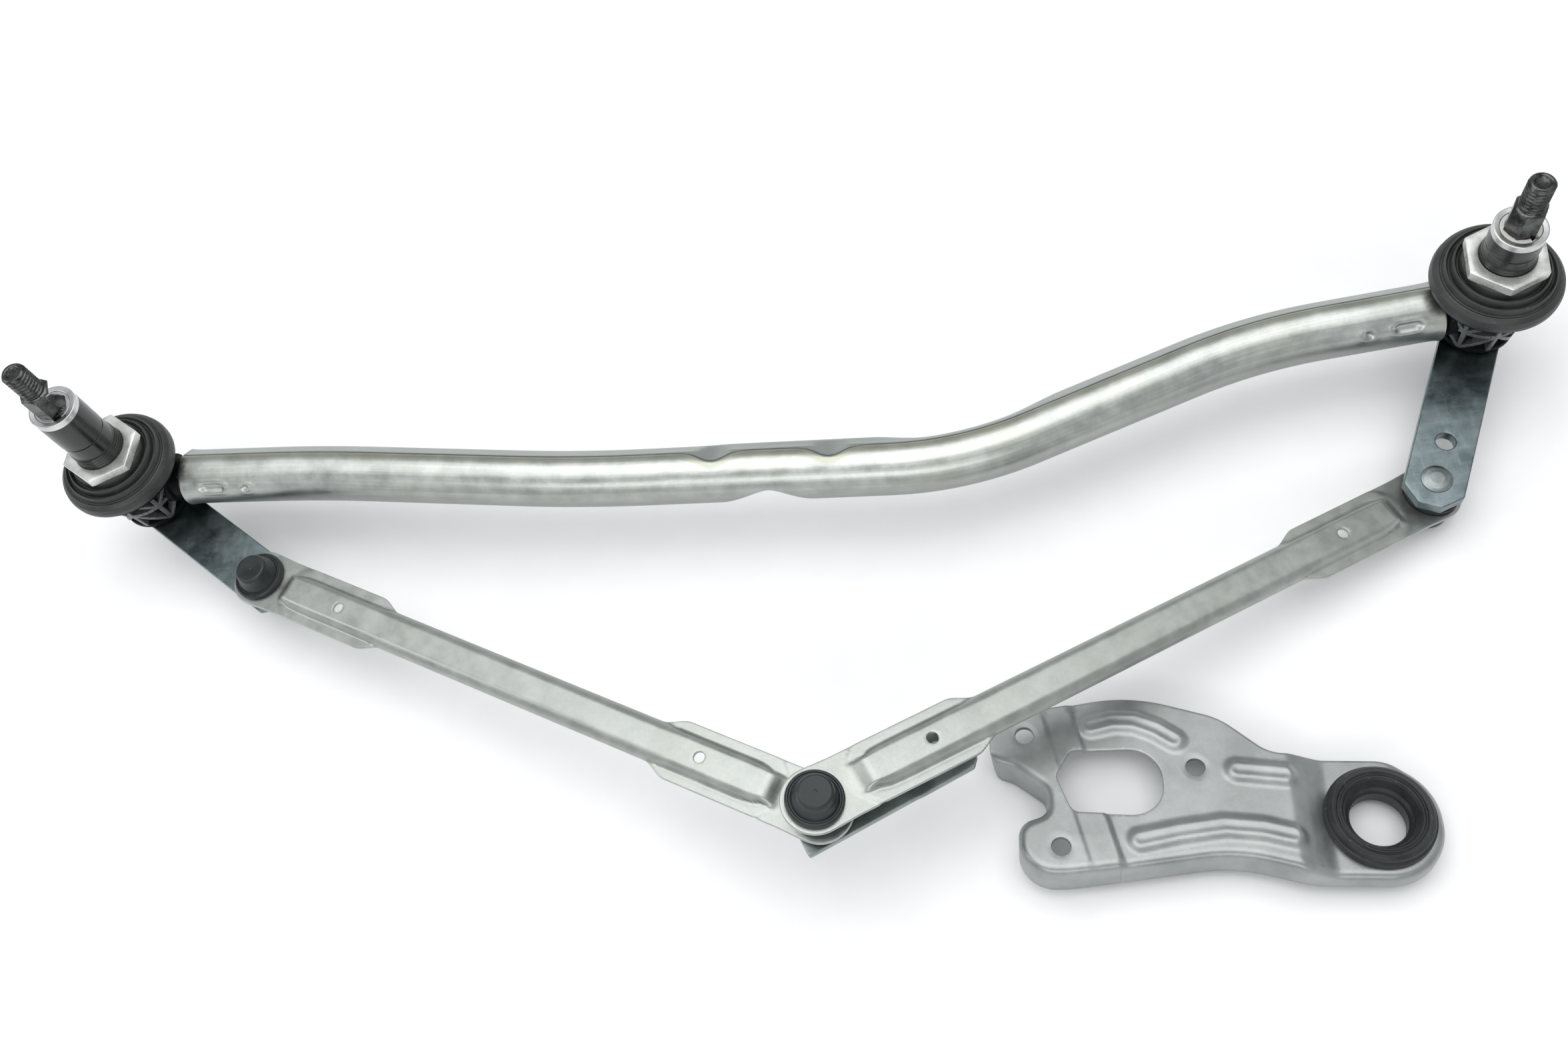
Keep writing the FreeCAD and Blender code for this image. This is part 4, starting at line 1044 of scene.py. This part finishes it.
def make_sockets():
    for name, centre, rod, body, node, open_top in (
            ("left_lever_cap", LEFT_BALL, left_place, "left_link", "left_link_lever_socket", False),
            ("left_crank_cap", LOW_BALL, left_place, "left_link", "left_link_crank_socket", True),
            ("right_crank_cap", HIGH_BALL, right_place, "right_link", "right_link_crank_socket", False)):
        points, faces = turned(cap_profile(open_top), 96, closed=open_top)
        if not open_top:
            faces = faces[:-2]
        add_piece(name, points, faces, tilted(centre, rod), body, "socket_plastic", SOCKET_BLACK, [node], sharp=50)
    rows = rounded([(9.75, -4.8), (10.8, -5.0), (10.8, 1.0), (11.0, 1.2), (11.0, 2.2), (10.8, 2.4), (10.8, 7.0),
                    (8.9, 8.35), (7.9, 8.4), (7.9, 7.6), (9.7, 6.6)], 0.3)
    flipped = tilted(RIGHT_BALL, right_place) @ Matrix.Rotation(math.pi, 4, "X")
    add_turned("right_lever_cup", rows, 96, flipped, "right_link", "socket_plastic", SOCKET_BLACK,
               ["right_link_lever_socket"], sharp=50)
    for name, centre, rod, body in (("left_link_dust_ring", LEFT_BALL, left_place, "left_link"),
                                    ("crank_dust_ring", LOW_BALL, left_place, "left_link"),
                                    ("right_link_dust_ring", HIGH_BALL, right_place, "right_link")):
        rows = rounded([(5.4, -6.5), (7.4, -6.6), (8.4, -6.0), (8.1, -5.7), (8.4, -5.2), (8.3, -5.0), (5.4, -5.0)],
                       0.25)
        add_turned(name.replace("_ring", "_bellows"), rows, 80, tilted(centre, rod), body, "seal_rubber",
                   SEAL_RUBBER, [name], sharp=60)


make_sockets()


# ---------------------------------------------------------------- crank arm

CRANK_THICKNESS = 3.5


def make_crank():
    side, end = 11.5, 60.0
    outline = arc_points([(-side, -side, 0.9), (end - 3, -side, 1.5), (end, -side + 3, 1.5), (end, side - 3, 1.5),
                          (end - 3, side, 1.5), (-side, side, 0.9)], 1.5)
    loops = [outline, circle(0, 0, 3.55)[::-1], circle(48, 0, 4.0)[::-1]]

    def surface(x, y):
        return CRANK_TOP - 0.9 * smooth((x - 33.3) / 2.6)

    points, faces = sheet(loops, (1.5, 3.0), surface, [plain_rim(CRANK_THICKNESS, 0.4)] * 3)
    turn = bearing(LOW_BALL, middle_mm("motor_crank_arm"))
    centre = Vector((LOW_BALL.x, LOW_BALL.y, 0))
    add_piece("crank_bar", points, faces, at(centre, turn), "crank", "crank_steel", CRANK_ZINC,
              ["motor_crank_arm"], sharp=50)
    foot = LOW_BALL.z - CRANK_TOP
    under = -foot - CRANK_THICKNESS
    gap = HIGH_BALL.z - LOW_BALL.z
    lower, upper = ball_rows(37, 144, 7), ball_rows(0, 144, 7, gap)
    stem = rounded([(3, gap - 4.0), (3, 4.0)], 0, closed=False)
    rest = rounded([(3, -4.0), (3, 0.6 - foot), (5.2, 0.6 - foot), (5.2, -foot), (3.5, -foot), (3.5, under),
                    (6.0, under - 0.05), (6.0, under - 0.7), (4.6, under - 1.4), (3.2, under - 1.0),
                    (0, under - 0.7)], 0.2, closed=False)
    add_turned("crank_stud_balls", upper + stem + lower + rest, 72, Matrix.Translation(LOW_BALL), "crank",
               "bright_steel", STUD_STEEL, ["crank_ball_stud"], closed=False, sharp=50)


make_crank()


# ---------------------------------------------------------------- loose motor bracket

BRACKET_TURN = turn_z(-6) @ Matrix.Rotation(math.radians(-9.6), 4, "X")
BRACKET_OUTLINE = (
    # x, y, corner radius, from the upper left ear clockwise
    (-86, 17, 6), (-86, 35, 7), (-32, 45, 60), (1, 35, 25), (18, 20, 14), (77, 19, 22),
    (77, -27, 22), (30, -27, 40), (2, -20, 60), (-58, -29, 60), (-76, -29, 13), (-76, -9, 7),
    (-65, -5, 5), (-65, 5, 6), (-77, 14, 12),
)
BRACKET_WINDOW = ((-55.5, 21, 4), (-61.5, 10, 4), (-56, -4.5, 4), (-22, -5.5, 12), (-22, 22, 12))
BRACKET_HOLES = ((-72.6, 27), (-60.7, -18.5), (-9.5, 14.3))
BRACKET_RIBS = (
    ((-47.5, 31.6), (-39, 33.8), (-31, 33.4), (-23, 30), (-16.5, 25.4)),
    ((5.5, 12.6), (22.5, 10.8)),
    ((-32, -15.4), (-18, -12.2), (-1.5, -9.6), (12, -10.8), (22.5, -13.4)),
)
PAD_DROP = 6.0
GROMMET_AT = Vector((54.3, -4, 0))
WALL_DEPTH = 14.0
WALL_BEND = 3.2


def distance_to_line(x, y, line):
    best = np.full_like(x, 1e6)
    for (x0, y0), (x1, y1) in zip(line, line[1:]):
        dx, dy = x1 - x0, y1 - y0
        share = np.clip(((x - x0) * dx + (y - y0) * dy) / (dx * dx + dy * dy), 0, 1)
        best = np.minimum(best, np.hypot(x - x0 - share * dx, y - y0 - share * dy))
    return best


def bracket_surface(x, y):
    """Top face of the pressed plate: ears one step up, three ribs with a shallow groove, and the lower pad."""
    height = -PAD_DROP * (smooth((x - 23) / 9) + smooth((x - 29) / 9)) / 2
    slant = x + 0.25 * y
    height = height + 1.5 * (1 - smooth((slant + 45.6) / 1.7)) + 0.45 * (1 - smooth((slant + 57.2) / 1.4))
    height = height - 0.35 * smooth((slant + 57.0) / 11.0) * (1 - smooth((slant + 45.6) / 1.7))
    for line in BRACKET_RIBS:
        gap = distance_to_line(x, y, line)
        height = height + 1.6 * smooth((5.8 - gap) / 3.8) - 0.45 * bell(gap / 1.9)
    for hole_x, hole_y in BRACKET_HOLES:
        gap = np.hypot(x - hole_x, y - hole_y)
        height = height - 0.15 * smooth((5.4 - gap) / 1.2)
    return height


def bracket_rim(loop):
    """Edge rows round the outline: a bend and an upright wall on the near side, a plain edge on the far side."""
    wall = smooth((19.5 - loop[:, 1]) / 4.0)
    depth = WALL_DEPTH - 2 + bracket_surface(loop[:, 0], loop[:, 1])
    bends = [math.radians(step) for step in (0, 18, 36, 54, 72, 90)]
    outer = [(-WALL_BEND + WALL_BEND * math.sin(t), WALL_BEND - WALL_BEND * math.cos(t)) for t in bends]
    plain = [(-WALL_BEND, 0), (-2.0, 0), (-1.0, 0), (-0.3, 0), (-0.09, 0.09), (0, 0.3)]
    rows = [(p[0] + (o[0] - p[0]) * wall, p[1] + (o[1] - p[1]) * wall) for p, o in zip(plain, outer)]
    end = 2 + wall * depth
    rows += [(0 * wall, 0.3 + (end - 0.6) * share + wall * (WALL_BEND - 0.3) * (1 - share))
             for share in (0.25, 0.5, 0.75, 1.0)]
    rows += [(-0.1 + 0 * wall, end - 0.1), (-0.35 + 0 * wall, end), (-1.0 - 0.65 * wall, end),
             (-1.5 - 0.5 * wall, end - 0.3 * wall)]
    inner = WALL_BEND - 2
    for turn in reversed(bends):
        share = 1 - turn / (math.pi / 2)
        bent = (-WALL_BEND + inner * math.sin(turn), WALL_BEND - inner * math.cos(turn))
        level = (-1.8 - (WALL_BEND - 1.8) * share, 2.0)
        rows.append((level[0] + (bent[0] - level[0]) * wall, level[1] + (bent[1] - level[1]) * wall))
    return rows


def make_bracket():
    loops = [arc_points(BRACKET_OUTLINE, 1.4)[::-1], arc_points(BRACKET_WINDOW, 1.2)]
    loops += [circle(x, y, 3.5)[::-1] for x, y in BRACKET_HOLES]
    loops.append(circle(GROMMET_AT.x, GROMMET_AT.y, 15.5, 80)[::-1])
    rims = [bracket_rim(loops[0])]
    plain = plain_rim(2.0, 0.3)
    rims += [plain] * (len(loops) - 1)
    points, faces = sheet(loops, (0.9, 0.9), bracket_surface, rims)
    local = np.array(BRACKET_TURN)[:3, :3]
    turned_points = points @ local.T
    low, high = corner_mm("motor_bracket", 0), corner_mm("motor_bracket", 1)
    rise = low.z - turned_points[:, 2].min()
    shift = Vector((441, -186, rise))
    place = Matrix.Translation(shift) @ BRACKET_TURN
    add_piece("bracket_pressing", points, faces, place, "loose_bracket", "bracket_steel", BRACKET_ZINC,
              ["motor_bracket"], sharp=45, weighted=False)
    rows = rounded([(10.3, -12.3), (16.4, -12.5), (17.0, -8.1), (15.5, -8.0), (15.5, -6.0), (19.3, -6.0),
                    (19.7, -5.0), (19.6, -2.9, 0.5), (18.8, -2.5, 0.3), (18.5, -0.7, 0.8), (17.2, 0.5, 0.7),
                    (15.9, 0.2, 0.5), (15.5, -0.6, 0.3), (15.0, -0.5, 0.3), (14.2, 0.1, 0.6), (13.2, -1.2, 0.8),
                    (12.0, -4.6, 0.8), (10.9, -5.6, 0.4), (10.3, -6.6, 0.4)], 0.35, steps=5)
    add_turned("grommet_ring", rows, 128, place @ Matrix.Translation(GROMMET_AT), "loose_bracket",
               "grommet_rubber", GROMMET_RUBBER, ["bracket_grommet"], sharp=60)


make_bracket()


# ---------------------------------------------------------------- floor and light

def make_floor():
    half, level = 3.0, CAD_BOX[0].z - 0.00002
    mesh = bpy.data.meshes.new("floor")
    mesh.from_pydata([(0.3 + x * half, y * half, level) for x, y in ((-1, -1), (1, -1), (1, 1), (-1, 1))], [],
                     [(0, 1, 2, 3)])
    mesh.materials.append(FLOOR_PAPER)
    floor = bpy.data.objects.new("floor", mesh)
    SCENE.collection.objects.link(floor)


def area_light(name, spot, aim, width, depth, watts):
    light = bpy.data.lights.new(name, "AREA")
    light.shape, light.size, light.size_y, light.energy = "RECTANGLE", width, depth, watts
    lamp = bpy.data.objects.new(name, light)
    lamp.location = spot
    lamp.rotation_euler = (Vector(aim) - Vector(spot)).to_track_quat("-Z", "Y").to_euler()
    SCENE.collection.objects.link(lamp)


make_floor()
area_light("overhead", (0.26, 0.2, 1.35), (0.26, 0.2, -0.1), 1.7, 1.35, 15)
area_light("front_fill", (0.1, -1.5, 0.9), (0.3, -0.1, -0.1), 1.6, 0.5, 6)
area_light("left_fill", (-1.3, -0.2, 0.8), (0.2, -0.1, -0.1), 0.6, 1.2, 4)
world = bpy.data.worlds.new("studio")
world.use_nodes = True
world.node_tree.nodes["Background"].inputs["Color"].default_value = (0.95, 0.97, 1.0, 1.0)
world.node_tree.nodes["Background"].inputs["Strength"].default_value = 0.56
SCENE.world = world
SCENE.view_settings.view_transform = "Standard"
SCENE.view_settings.look = "None"
